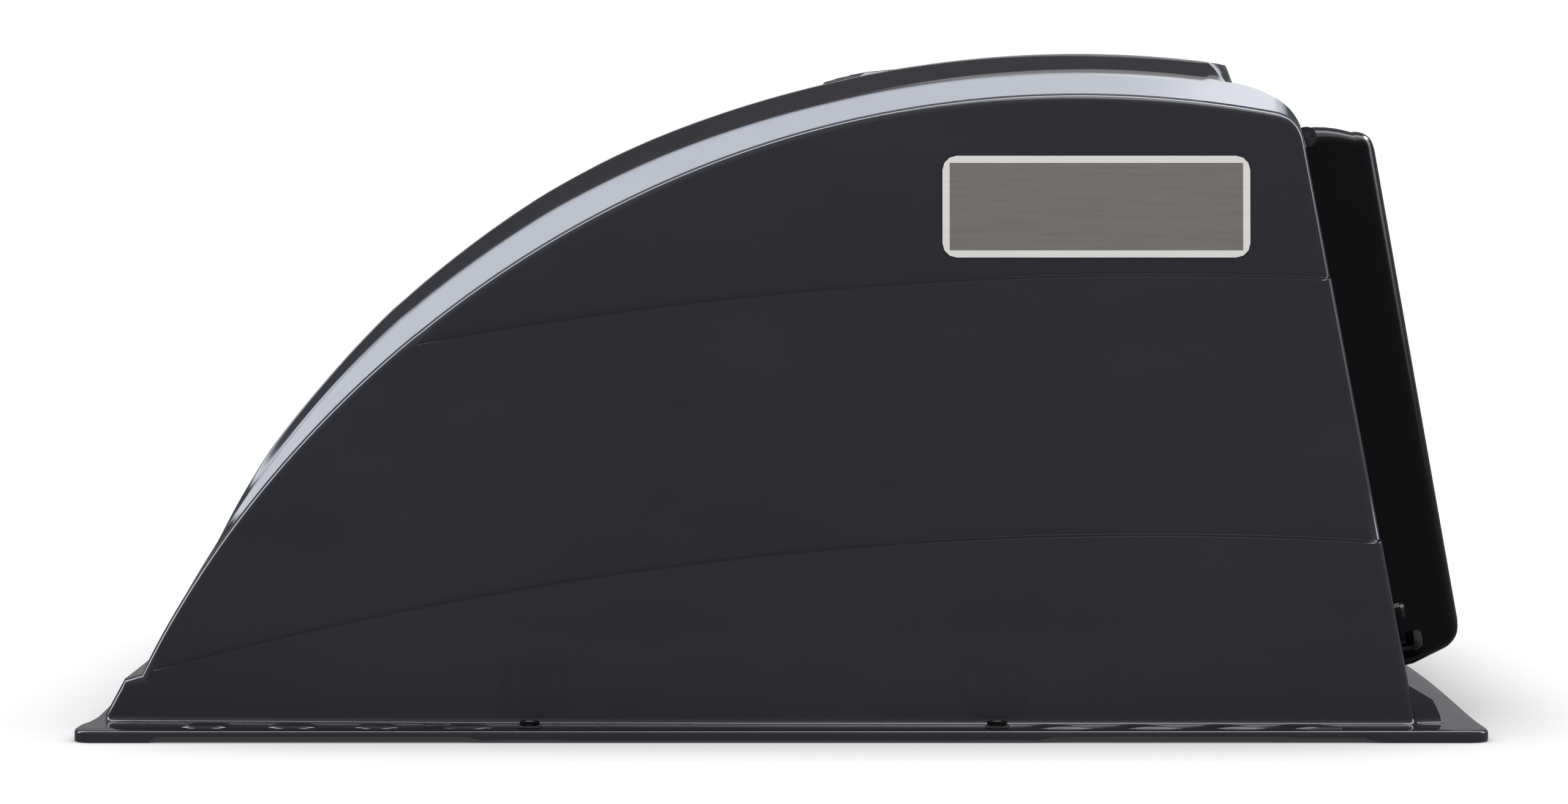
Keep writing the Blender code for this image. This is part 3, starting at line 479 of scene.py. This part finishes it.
def wall_column(foot, top):
    column = [Vector((foot, -half_width(foot, FOOT_Z), FOOT_Z)) if top.z > FOOT_Z + 1e-5 else top.copy()]
    for level in wall_levels():
        x, z = foot, FOOT_Z
        for _ in range(4):
            z = min(level(x), top.z)
            share = (z - FOOT_Z) / (top.z - FOOT_Z) if top.z - FOOT_Z > 1e-6 else 0.0
            x = foot + (top.x - foot) * share
        z = max(z, column[-1].z)
        folded = z >= top.z - 1e-5
        column.append(top.copy() if folded else Vector((x, -half_width(x, z), z)))
    return column + [top.copy()]


def hood_rows():
    """The roof's rows and the side wall's columns, joined point for point along the roof's edge."""
    outline = profile()
    normals = outward(outline)
    roof = [roof_row(*point, normal) for point, normal in zip(outline, normals)]
    last = max(i for i, point in enumerate(outline) if point[2] == "roll")
    first_x, last_x = roof[0][0].x, roof[last][0].x
    foot_x = roof[-1][0].x
    columns = []
    for i in range(last):
        top = roof[i][0]
        foot = first_x + (top.x - first_x) * (foot_x - first_x) / (last_x - first_x)
        columns.append(wall_column(foot, top))
    columns.append([row[0] for row in reversed(roof[last:])])
    return roof, columns


def flange_edge(roof, side, foot):
    """The flange's outline in plan, one point for each point of the body's foot print."""
    count = len(roof[0])
    straight = FLANGE_HALF_LENGTH - FLANGE_CORNER
    depth = FLANGE_HALF_WIDTH - FLANGE_CORNER
    edge = []
    for i, point in enumerate(foot):
        if count <= i < len(foot) - count:
            share = (point.x - side[0].x) / (side[-1].x - side[0].x)
            edge.append(Vector((straight * (2 * share - 1), -FLANGE_HALF_WIDTH)))
            continue
        end = -1 if i < count else 1
        row = roof[0] if end < 0 else roof[-1]
        k = count - 1 - i if end < 0 else i - (len(foot) - count)
        if k <= EDGE_STEPS:
            angle = pi / 2 * k / EDGE_STEPS
            edge.append(Vector((end * (straight + FLANGE_CORNER * sin(angle)),
                                -(depth + FLANGE_CORNER * cos(angle)))))
        else:
            y = point.y * depth / abs(row[EDGE_STEPS].y)
            edge.append(Vector((end * FLANGE_HALF_LENGTH + end_bow(end, y), y)))
    return edge


def rib(x):
    """Height of the small stiffening pads along the long sides of the flange."""
    pitch, half, ramp = 0.0365, 0.0085, 0.0012
    inside = any(low < x < high for low, high in ((-0.250, -0.120), (0.105, 0.255)))
    offset = abs((x + 0.004) % pitch - pitch / 2)
    return 0.0007 * smoothstep((half - offset) / ramp) if inside else 0.0


def flange_rows(roof, columns):
    """Rows round the foot: the fillet, the flange's top with its pads, its rounded edge and its rim."""
    side = [column[0] for column in columns]
    foot = list(reversed(roof[0])) + side[1:-1] + roof[-1]
    edge = flange_edge(roof, side, foot)
    rows = [foot]
    for k in range(1, 7):
        angle = pi / 2 * k / 6
        out, height = FILLET * (1 - cos(angle)), FOOT_Z - (FOOT_Z - FLANGE_TOP) * sin(angle)
        rows.append([step_out(p, e, out, height) for p, e in zip(foot, edge)])
    drop = 0.0014
    for share in (0.18, 0.20, 0.62, 0.64):
        row = []
        for p, e in zip(foot, edge):
            length = (e - p.xy).length - drop
            raised = rib(e.x) if abs(e.y) >= FLANGE_HALF_WIDTH - 1e-6 and 0.19 < share < 0.63 else 0.0
            row.append(step_out(p, e, FILLET + (length - FILLET) * share, FLANGE_TOP + raised))
        rows.append(row)
    for k in range(5):
        angle = pi / 2 * k / 4
        rows.append([step_out(p, e, (e - p.xy).length - drop * (1 - sin(angle)),
                              FLANGE_TOP - drop * (1 - cos(angle))) for p, e in zip(foot, edge)])
    straight = FLANGE_HALF_LENGTH - FLANGE_CORNER
    rims = [rim_height(e.x) if abs(e.x) < straight + 1e-6 else 0.0 for e in edge]
    rows.append([Vector((e.x, e.y, rim + 0.0006)) for e, rim in zip(edge, rims)])
    rows.append([step_out(p, e, (e - p.xy).length - 0.0005, rim) for p, e, rim in zip(foot, edge, rims)])
    return rows


def step_out(point, end, distance, height):
    """A point at distance from point toward end in plan, at the given height."""
    way = (end - point.xy).normalized()
    flat = point.xy + way * distance
    return Vector((flat.x, flat.y if abs(point.y) > 1e-6 else 0.0, height))


def skin(bm, rows):
    grid = [[bm.verts.new(point) for point in row] for row in rows]
    for lower, upper in zip(grid, grid[1:]):
        for a, b, c, d in zip(lower, lower[1:], upper[1:], upper):
            bm.faces.new((a, b, c, d))


def rear_matrix():
    """The rear face's frame: q out of the face, y, p up the face."""
    axis_y = Vector((0.0, 1.0, 0.0))
    up = face_normal.cross(axis_y)
    turn = Matrix((face_normal, axis_y, up)).transposed().to_4x4()
    origin = hinge_at - HINGE_Q * face_normal - HINGE_P * up
    return Matrix.Translation(origin) @ turn


REAR = rear_matrix()
FACE_ON = Matrix(((0, 0, 1, 0), (1, 0, 0, 0), (0, 1, 0, 0), (0, 0, 0, 1)))
SIDE_ON = Matrix(((1, 0, 0, 0), (0, 0, -1, 0), (0, 1, 0, 0), (0, 0, 0, 1)))


def make_hood(material):
    roof, columns = hood_rows()
    bm = bmesh.new()
    skin(bm, roof)
    skin(bm, [list(row) for row in zip(*columns)])
    skin(bm, flange_rows(roof, columns))
    bmesh.ops.remove_doubles(bm, verts=bm.verts, dist=2e-5)
    bmesh.ops.dissolve_degenerate(bm, edges=bm.edges, dist=1e-6)
    bmesh.ops.recalc_face_normals(bm, faces=bm.faces)
    top = max(bm.faces, key=lambda face: face.calc_center_median().z)
    if top.normal.z < 0:
        bmesh.ops.reverse_faces(bm, faces=bm.faces)
    hood = add_object("hood_shell", as_mesh("hood_shell", bm), material)
    mirror = hood.modifiers.new("halves", "MIRROR")
    mirror.use_axis = (False, True, False)
    mirror.merge_threshold = 0.00002
    shell = hood.modifiers.new("wall", "SOLIDIFY")
    shell.thickness = SHELL
    shell.offset = -1
    shell.use_even_offset = True
    apply_modifiers(hood)
    boolean(hood, "DIFFERENCE", hood_cuts())
    boolean(hood, "UNION", hinge_lugs())
    boolean(hood, "DIFFERENCE", lug_bores())
    shade(hood.data, 30)
    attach(hood, "cover")
    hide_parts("hood")
    return hood


def hood_cuts():
    bm = bmesh.new()
    loop = rounded_rectangle((-OPENING_HALF_WIDTH, OPENING_LOW), (OPENING_HALF_WIDTH, OPENING_HIGH),
                             OPENING_CORNER)
    prism_into(bm, loop, -0.012, 0.020, REAR @ FACE_ON)
    for side in (-1, 1):
        y = side * BUTTON_Y
        cylinder_into(bm, 0.0019, REAR @ Vector((-0.012, y, BUTTON_P)), REAR @ Vector((0.012, y, BUTTON_P)))
        for end in ("front", "rear"):
            low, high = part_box(f"nut_{end}_right")
            centre = (low + high) / 2
            x, y = centre.x, side * centre.y
            cylinder_into(bm, STUD_HOLE, (x, y, -0.002), (x, y, 0.012))
    return bm


def hinge_lugs():
    bm = bmesh.new()
    lug = arc((HINGE_Q, HINGE_P), LUG_RADIUS, -pi / 2, pi / 2, 16)
    lug += [(-0.0012, HINGE_P + LUG_RADIUS), (-0.0012, HINGE_P - LUG_RADIUS)]
    for side in (-1, 1):
        low, high = sorted((-side * LUG_INNER, -side * LUG_OUTER))
        prism_into(bm, lug, low, high, REAR @ SIDE_ON)
    return bm


def lug_bores():
    bm = bmesh.new()
    for side in (-1, 1):
        cylinder_into(bm, PIN_BORE, REAR @ Vector((HINGE_Q, side * (LUG_INNER - 0.002), HINGE_P)),
                      REAR @ Vector((HINGE_Q, side * (LUG_OUTER + 0.002), HINGE_P)))
    return bm


# ---------------------------------------------------------------- louvred vent
def flared(q, p):
    """The vent's depth at the height p: it is a little deeper at the top than at the bottom."""
    return q + VENT_FLARE * max(q - HINGE_Q, 0.0) * p


def vent_ring(q, inset, top_drop):
    half = VENT_HALF_WIDTH - inset
    bottom = VENT_BOTTOM + inset + 0.25 * max(q - 0.010, 0.0)
    top = VENT_TOP - top_drop
    return [Vector((flared(q, p), y, p)) for y, p in
            rounded_rectangle((-half, bottom), (half, top), max(VENT_CORNER - inset, 0.004), 8)]


def make_vent(material):
    drop = VENT_TOP - HINGE_P - KNUCKLE
    rings = []
    for angle in (8, 24, 40, 56, 73, 90):
        q = HINGE_Q - KNUCKLE * cos(radians(angle))
        rings.append(vent_ring(q, 0.0, drop + KNUCKLE * (1 - sin(radians(angle)))))
    for share in (0.3, 0.5, 0.7, 0.85, 1.0):
        q = HINGE_Q + (VENT_DEPTH - VENT_EDGE - HINGE_Q) * share
        rings.append(vent_ring(q, VENT_INSET * share, VENT_DROP * share ** 2))
    for k in range(1, 9):
        turn = pi / 2 * k / 8
        inward = VENT_EDGE * (1 - cos(turn))
        q = VENT_DEPTH - VENT_EDGE * (1 - sin(turn))
        rings.append(vent_ring(q, VENT_INSET + inward, VENT_DROP + inward))
    bm = bmesh.new()
    grid = [[bm.verts.new(point) for point in ring] for ring in rings]
    for lower, upper in zip(grid, grid[1:]):
        for i in range(len(lower)):
            k = (i + 1) % len(lower)
            bm.faces.new((lower[i], lower[k], upper[k], upper[i]))
    bm.faces.new(grid[-1])
    bmesh.ops.recalc_face_normals(bm, faces=bm.faces)
    face = max(bm.faces, key=lambda f: f.calc_center_median().x)
    if face.normal.x < 0:
        bmesh.ops.reverse_faces(bm, faces=bm.faces)
    bmesh.ops.transform(bm, matrix=REAR, verts=bm.verts)
    vent = add_object("rear_louvre_housing", as_mesh("rear_louvre_housing", bm), material)
    shell = vent.modifiers.new("wall", "SOLIDIFY")
    shell.thickness = VENT_WALL
    shell.offset = -1
    shell.use_even_offset = True
    apply_modifiers(vent)
    boolean(vent, "DIFFERENCE", vent_windows())
    boolean(vent, "UNION", vent_blades())
    boolean(vent, "DIFFERENCE", vent_bores())
    shade(vent.data, 30)
    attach(vent, "rear_vent")
    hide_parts("louvred_vent")
    return vent


def vent_windows():
    bm = bmesh.new()
    for k in (-1, 0, 1):
        middle = k * (BAY_WIDTH + MULLION)
        low, high = (middle - BAY_WIDTH / 2, BAY_LOW), (middle + BAY_WIDTH / 2, BAY_HIGH)
        loop = rounded_rectangle(low, high, 0.004, 5)
        prism_into(bm, loop, VENT_DEPTH - 0.006, VENT_DEPTH + 0.004, REAR @ FACE_ON)
    return bm


def vent_blades():
    bm = bmesh.new()
    reach = 1.5 * BAY_WIDTH + MULLION + 0.003
    nose = arc((-LOUVRE_THICK / 2, -LOUVRE_THICK / 2), LOUVRE_THICK / 2, pi / 2, -pi / 2, 6)
    section = nose + [(-LOUVRE_DEPTH, -LOUVRE_THICK), (-LOUVRE_DEPTH, 0.0)]
    for k in range(LOUVRE_COUNT):
        level = LOUVRE_LOW + k * LOUVRE_PITCH
        edge = Matrix.Translation((flared(VENT_DEPTH, level) - 0.0012, 0.0, level))
        tilt = REAR @ edge @ Matrix.Rotation(LOUVRE_TILT, 4, "Y")
        prism_into(bm, section, -reach, reach, tilt @ SIDE_ON)
    for side in (-1, 1):
        low, high = sorted((side * (VENT_HALF_WIDTH - 0.0015), side * KEEPER_TIP))
        box_into(bm, (0.0007, low, BUTTON_P - 0.006), (KEEPER_TOP, high, BUTTON_P + 0.006), REAR)
    return bm


def vent_bores():
    bm = bmesh.new()
    for side in (-1, 1):
        low, high = sorted((side * (VENT_HALF_WIDTH - 0.012), side * (VENT_HALF_WIDTH + 0.001)))
        start, end = Vector((HINGE_Q, low, HINGE_P)), Vector((HINGE_Q, high, HINGE_P))
        cylinder_into(bm, PIN_BORE, REAR @ start, REAR @ end)
        notch = rounded_rectangle((0.0060, -0.0010), (0.0160, 0.0075), 0.0025, 5)
        prism_into(bm, notch, *sorted((-low, -high)), REAR @ SIDE_ON)
    return bm


# ---------------------------------------------------------------- insect screen
def make_screen(material):
    """Woven mesh: crossing strands in the window of the screen frame."""
    pitch, strand = 0.0025, 0.00042
    to_local = REAR.inverted()
    corners = [to_local @ Vector(v.co) for v in nodes["screen_mesh"].data.vertices]
    low_p, high_p = min(c.z for c in corners), max(c.z for c in corners)
    half_y = max(c.y for c in corners)
    q = sum(c.x for c in corners) / len(corners)
    bm = bmesh.new()
    count = int(2 * half_y / pitch)
    for i in range(count + 1):
        y = -half_y + strand + (2 * half_y - 2 * strand) * i / count
        box_into(bm, (q - strand * 0.2, y - strand / 2, low_p),
                 (q + strand * 0.8, y + strand / 2, high_p), REAR)
    count = int((high_p - low_p) / pitch)
    for i in range(count + 1):
        p = low_p + strand + (high_p - low_p - 2 * strand) * i / count
        box_into(bm, (q - strand * 0.8, -half_y, p - strand / 2),
                 (q + strand * 0.2, half_y, p + strand / 2), REAR)
    screen = add_object("woven_screen", as_mesh("woven_screen", bm), material)
    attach(screen, "rear_vent")
    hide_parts("screen_mesh")


# ---------------------------------------------------------------- materials
def new_material(name):
    material = bpy.data.materials.new(name)
    material.use_nodes = True
    tree = material.node_tree
    tree.nodes.clear()
    output = tree.nodes.new("ShaderNodeOutputMaterial")
    shader = tree.nodes.new("ShaderNodeBsdfPrincipled")
    tree.links.new(shader.outputs["BSDF"], output.inputs["Surface"])
    return material, tree, shader, output


def noise(tree, scale, detail=3.0, rough=0.5, stretch=(1, 1, 1)):
    place = tree.nodes.new("ShaderNodeTexCoord")
    mapping = tree.nodes.new("ShaderNodeMapping")
    mapping.inputs["Scale"].default_value = stretch
    texture = tree.nodes.new("ShaderNodeTexNoise")
    texture.inputs["Scale"].default_value = scale
    texture.inputs["Detail"].default_value = detail
    texture.inputs["Roughness"].default_value = rough
    tree.links.new(place.outputs["Object"], mapping.inputs["Vector"])
    tree.links.new(mapping.outputs["Vector"], texture.inputs["Vector"])
    return texture


def remap(tree, source, low, high, from_low=0.3, from_high=0.7):
    node = tree.nodes.new("ShaderNodeMapRange")
    node.inputs["From Min"].default_value = from_low
    node.inputs["From Max"].default_value = from_high
    node.inputs["To Min"].default_value = low
    node.inputs["To Max"].default_value = high
    tree.links.new(source, node.inputs["Value"])
    return node.outputs["Result"]


def tint(tree, source, dark, light):
    mix = tree.nodes.new("ShaderNodeMix")
    mix.data_type = "RGBA"
    mix.inputs[6].default_value = (*dark, 1.0)
    mix.inputs[7].default_value = (*light, 1.0)
    tree.links.new(source, mix.inputs[0])
    return mix.outputs[2]


def bump(tree, shader, source, strength, distance):
    node = tree.nodes.new("ShaderNodeBump")
    node.inputs["Strength"].default_value = strength
    node.inputs["Distance"].default_value = distance
    tree.links.new(source, node.inputs["Height"])
    tree.links.new(node.outputs["Normal"], shader.inputs["Normal"])


def moulded(name, dark, light, rough_low, rough_high, orange_peel=0.02, ior=1.50):
    """Glossy moulded plastic: faint flow marks in its colour, uneven gloss and a slight orange peel."""
    material, tree, shader, output = new_material(name)
    flow = noise(tree, 9.0, 4.0, 0.6, (1.0, 1.0, 3.0))
    cloud = noise(tree, 38.0, 3.0, 0.55)
    peel = noise(tree, 420.0, 2.0, 0.5)
    tree.links.new(tint(tree, remap(tree, flow.outputs["Fac"], 0.0, 1.0), dark, light),
                   shader.inputs["Base Color"])
    tree.links.new(remap(tree, cloud.outputs["Fac"], rough_low, rough_high), shader.inputs["Roughness"])
    bump(tree, shader, peel.outputs["Fac"], orange_peel, 0.0004)
    shader.inputs["IOR"].default_value = ior
    return material, tree, shader, output


def smoke_material():
    """Smoked plastic: glossy, dark, and thin enough to let a little light through."""
    material, tree, shader, output = moulded("smoke_plastic", (0.0135, 0.0128, 0.0170),
                                             (0.0165, 0.0155, 0.0205), 0.10, 0.15)
    clear = tree.nodes.new("ShaderNodeBsdfTransparent")
    clear.inputs["Color"].default_value = (0.80, 0.79, 0.90, 1.0)
    mix = tree.nodes.new("ShaderNodeMixShader")
    facing = tree.nodes.new("ShaderNodeLayerWeight")
    facing.inputs["Blend"].default_value = 0.5
    share = remap(tree, facing.outputs["Facing"], SEE_THROUGH, 0.0, 0.0, 0.9)
    tree.links.new(share, mix.inputs["Fac"])
    tree.links.new(shader.outputs["BSDF"], mix.inputs[1])
    tree.links.new(clear.outputs["BSDF"], mix.inputs[2])
    tree.links.new(mix.outputs["Shader"], output.inputs["Surface"])
    return material


def zinc_material():
    """Bright zinc on the brackets."""
    material, tree, shader, _ = new_material("zinc_plate")
    grain = noise(tree, 900.0, 3.0, 0.6, (1.0, 12.0, 1.0))
    spangle = noise(tree, 120.0, 2.0, 0.5)
    tree.links.new(tint(tree, spangle.outputs["Fac"], (0.46, 0.47, 0.49), (0.64, 0.64, 0.62)),
                   shader.inputs["Base Color"])
    tree.links.new(remap(tree, grain.outputs["Fac"], 0.28, 0.45), shader.inputs["Roughness"])
    shader.inputs["Metallic"].default_value = 1.0
    bump(tree, shader, grain.outputs["Fac"], 0.05, 0.0002)
    return material


def steel_material():
    """Blackened steel of the pins and screws."""
    material, tree, shader, _ = new_material("black_oxide")
    wear = noise(tree, 260.0, 4.0, 0.6)
    tree.links.new(tint(tree, remap(tree, wear.outputs["Fac"], 0.0, 1.0, 0.45, 0.75), (0.030, 0.030, 0.033),
                        (0.085, 0.083, 0.080)), shader.inputs["Base Color"])
    tree.links.new(remap(tree, wear.outputs["Fac"], 0.32, 0.48), shader.inputs["Roughness"])
    shader.inputs["Metallic"].default_value = 0.8
    return material


def rubber_material():
    material, tree, shader, _ = new_material("washer_rubber")
    dust = noise(tree, 500.0, 3.0, 0.6)
    tree.links.new(tint(tree, dust.outputs["Fac"], (0.010, 0.010, 0.010), (0.028, 0.028, 0.027)),
                   shader.inputs["Base Color"])
    shader.inputs["Roughness"].default_value = 0.72
    bump(tree, shader, dust.outputs["Fac"], 0.15, 0.0003)
    return material


def mesh_material():
    material, tree, shader, _ = new_material("mesh_strands")
    fleck = noise(tree, 300.0, 2.0, 0.5)
    tree.links.new(tint(tree, fleck.outputs["Fac"], (0.030, 0.031, 0.032), (0.065, 0.066, 0.068)),
                   shader.inputs["Base Color"])
    shader.inputs["Roughness"].default_value = 0.55
    return material


def label_material():
    """Plain satin film: a warm dark grey field inside a light border, no lettering."""
    material, tree, shader, _ = new_material("plain_label")
    place = tree.nodes.new("ShaderNodeTexCoord")
    split = tree.nodes.new("ShaderNodeSeparateXYZ")
    tree.links.new(place.outputs["Generated"], split.inputs["Vector"])
    brushed = noise(tree, 700.0, 3.0, 0.6, (0.05, 1.0, 1.0))
    size = label_high - label_low
    inside = None
    for axis, length in (("X", size.x), ("Z", size.z)):
        share = LABEL_BORDER / length
        low = maths(tree, "GREATER_THAN", split.outputs[axis], share)
        high = maths(tree, "LESS_THAN", split.outputs[axis], 1 - share)
        both = maths(tree, "MULTIPLY", low, high)
        inside = maths(tree, "MULTIPLY", inside, both) if inside else both
    field = tint(tree, brushed.outputs["Fac"], (0.115, 0.108, 0.098), (0.160, 0.150, 0.136))
    border = tint(tree, brushed.outputs["Fac"], (0.52, 0.52, 0.51), (0.62, 0.62, 0.60))
    mix = tree.nodes.new("ShaderNodeMix")
    mix.data_type = "RGBA"
    tree.links.new(inside, mix.inputs[0])
    tree.links.new(border, mix.inputs[6])
    tree.links.new(field, mix.inputs[7])
    tree.links.new(mix.outputs[2], shader.inputs["Base Color"])
    tree.links.new(remap(tree, brushed.outputs["Fac"], 0.38, 0.52), shader.inputs["Roughness"])
    return material


def maths(tree, operation, first, second=0.0):
    """One sum in a material: second is a number or another node's output."""
    node = tree.nodes.new("ShaderNodeMath")
    node.operation = operation
    tree.links.new(first, node.inputs[0])
    if isinstance(second, float):
        node.inputs[1].default_value = second
    else:
        tree.links.new(second, node.inputs[1])
    return node.outputs["Value"]


def assign(names, material, degrees=35, bevel=0.0):
    """Gives CAD nodes a material and soft edges."""
    for name in names:
        node = nodes[name]
        node.data.materials.clear()
        node.data.materials.append(material)
        shade(node.data, degrees)
        if bevel:
            round_off = node.modifiers.new("edges", "BEVEL")
            round_off.width = bevel
            round_off.segments = 2
            round_off.limit_method = "ANGLE"
            round_off.angle_limit = radians(50)


# ---------------------------------------------------------------- stage, light, camera
def make_floor():
    """Pale studio floor that glows. The glow falls off close to the cover, as a light contact shadow."""
    bm = bmesh.new()
    bmesh.ops.create_grid(bm, x_segments=1, y_segments=1, size=6.0)
    material, tree, shader, _ = new_material("pale_floor")
    mottle = noise(tree, 3.0)
    tree.links.new(tint(tree, mottle.outputs["Fac"], (0.095, 0.095, 0.095), (0.105, 0.105, 0.105)),
                   shader.inputs["Base Color"])
    shader.inputs["Roughness"].default_value = 0.9
    shader.inputs["Specular IOR Level"].default_value = 0.0
    shader.inputs["Emission Color"].default_value = (1.0, 1.0, 1.0, 1.0)
    contact = tree.nodes.new("ShaderNodeAmbientOcclusion")
    contact.inputs["Distance"].default_value = CONTACT_REACH
    tree.links.new(remap(tree, contact.outputs["AO"], 0.04, FLOOR_GLOW, 0.2, 1.0),
                   shader.inputs["Emission Strength"])
    floor = add_object("floor", as_mesh("floor", bm), material)
    floor.location.z = cad_low.z
    floor.visible_glossy = False


def make_world():
    """Pale backdrop. In reflections it is a dim soft studio with a strip light overhead."""
    world = bpy.data.worlds.new("studio")
    bpy.context.scene.world = world
    world.use_nodes = True
    tree = world.node_tree
    tree.nodes.clear()
    output = tree.nodes.new("ShaderNodeOutputWorld")
    place = tree.nodes.new("ShaderNodeTexCoord")
    split = tree.nodes.new("ShaderNodeSeparateXYZ")
    tree.links.new(place.outputs["Generated"], split.inputs["Vector"])
    far = world_level(tree, split.outputs["Z"], FAR_LEVELS)
    near = world_level(tree, split.outputs["Z"], NEAR_LEVELS)
    side = tree.nodes.new("ShaderNodeMapRange")
    side.interpolation_type = "SMOOTHSTEP"
    side.inputs["From Min"].default_value = -0.35
    side.inputs["From Max"].default_value = 0.35
    tree.links.new(split.outputs["Y"], side.inputs["Value"])
    mix = tree.nodes.new("ShaderNodeMix")
    mix.data_type = "RGBA"
    tree.links.new(side.outputs["Result"], mix.inputs[0])
    tree.links.new(near, mix.inputs[6])
    tree.links.new(far, mix.inputs[7])
    strip = overhead_strip(tree, split)
    total = tree.nodes.new("ShaderNodeMix")
    total.data_type = "RGBA"
    tree.links.new(strip, total.inputs[0])
    tree.links.new(mix.outputs[2], total.inputs[6])
    total.inputs[7].default_value = STRIP_LEVEL
    studio = tree.nodes.new("ShaderNodeBackground")
    tree.links.new(total.outputs[2], studio.inputs["Color"])
    plain = tree.nodes.new("ShaderNodeBackground")
    plain.inputs["Color"].default_value = (1.0, 1.0, 1.0, 1.0)
    plain.inputs["Strength"].default_value = 1.05
    rays = tree.nodes.new("ShaderNodeLightPath")
    choose = tree.nodes.new("ShaderNodeMixShader")
    tree.links.new(rays.outputs["Is Glossy Ray"], choose.inputs["Fac"])
    tree.links.new(plain.outputs["Background"], choose.inputs[1])
    tree.links.new(studio.outputs["Background"], choose.inputs[2])
    tree.links.new(choose.outputs["Shader"], output.inputs["Surface"])


def overhead_strip(tree, split):
    """Share of a bright strip light that runs along the cover overhead."""
    distance = maths(tree, "ABSOLUTE", maths(tree, "SUBTRACT", split.outputs["Y"], STRIP_PLACE))
    across = remap(tree, distance, 1.0, 0.0, STRIP_CORE, STRIP_WIDTH)
    above = remap(tree, split.outputs["Z"], 0.0, 1.0, 0.1, 0.3)
    return maths(tree, "MULTIPLY", across, above)


def world_level(tree, height, levels):
    """Brightness of the studio as a ramp over the height of the direction, -1 to 1."""
    share = tree.nodes.new("ShaderNodeMapRange")
    share.inputs["From Min"].default_value = -1.0
    share.inputs["From Max"].default_value = 1.0
    tree.links.new(height, share.inputs["Value"])
    ramp = tree.nodes.new("ShaderNodeValToRGB")
    ramp.color_ramp.interpolation = "EASE"
    while len(ramp.color_ramp.elements) < len(levels):
        ramp.color_ramp.elements.new(0.5)
    for element, (elevation, level) in zip(ramp.color_ramp.elements, levels):
        element.position = (sin(radians(elevation)) + 1) / 2
        element.color = (level, level * 1.01, level * 1.04, 1.0)
    tree.links.new(share.outputs["Result"], ramp.inputs["Fac"])
    return ramp.outputs["Color"]


def make_light(name, place, target, size, power, only=None):
    """A soft box. With only, it lights just that object."""
    light = bpy.data.lights.new(name, "AREA")
    light.shape = "RECTANGLE"
    light.size, light.size_y = size
    light.energy = power
    lamp = bpy.data.objects.new(name, light)
    bpy.context.scene.collection.objects.link(lamp)
    lamp.location = place
    lamp.rotation_euler = (Vector(target) - Vector(place)).to_track_quat("-Z", "Y").to_euler()
    if only:
        lit = bpy.data.collections.new(name + "_lit")
        lit.objects.link(only)
        lamp.light_linking.receiver_collection = lit


def make_camera():
    """Side view from the middle of the cover's length, a little under its top."""
    lens = bpy.data.cameras.new("camera")
    lens.sensor_width = 36.0
    lens.lens = CAMERA_LENS
    lens.shift_x, lens.shift_y = CAMERA_SHIFT
    camera = bpy.data.objects.new("camera", lens)
    bpy.context.scene.collection.objects.link(camera)
    camera.location = CAMERA_PLACE
    camera.rotation_euler = (radians(90.0), 0.0, 0.0)
    bpy.context.scene.camera = camera


# ---------------------------------------------------------------- the whole scene
make_floor()
make_world()
make_light("high_soft_box", (0.5, -0.5, 1.7), (0.1, 0.0, 0.15), (1.2, 0.9), 12.0)
make_camera()
bpy.context.scene.view_settings.view_transform = "Standard"

smoke = smoke_material()
black = moulded("black_plastic", (0.0012, 0.0012, 0.0013), (0.0019, 0.0018, 0.0018), 0.15, 0.20, 0.02, 1.27)[0]
make_hood(smoke)
make_vent(black)
make_screen(mesh_material())
assign([n for n in nodes if n.startswith("bracket_")], zinc_material(), 35, 0.0003)
assign([n for n in nodes if n.startswith("hinge_pin_") or n.endswith("_screw")], steel_material(), 40, 0.0002)
assign([n for n in nodes if n.startswith("nut_")], black, 40, 0.0003)
assign([n for n in nodes if n.startswith("rubber_washer_")], rubber_material(), 40, 0.0002)
assign(["screen_frame", "turn_button_left", "turn_button_right"], black, 40, 0.0004)
assign(["side_label_left", "side_label_right"], label_material(), 40)

make_light("rear_key", (1.29, 0.44, 1.29), (0.24, -0.16, 0.24), (0.40, 0.30), 60.0,
           bpy.data.objects["rear_louvre_housing"])
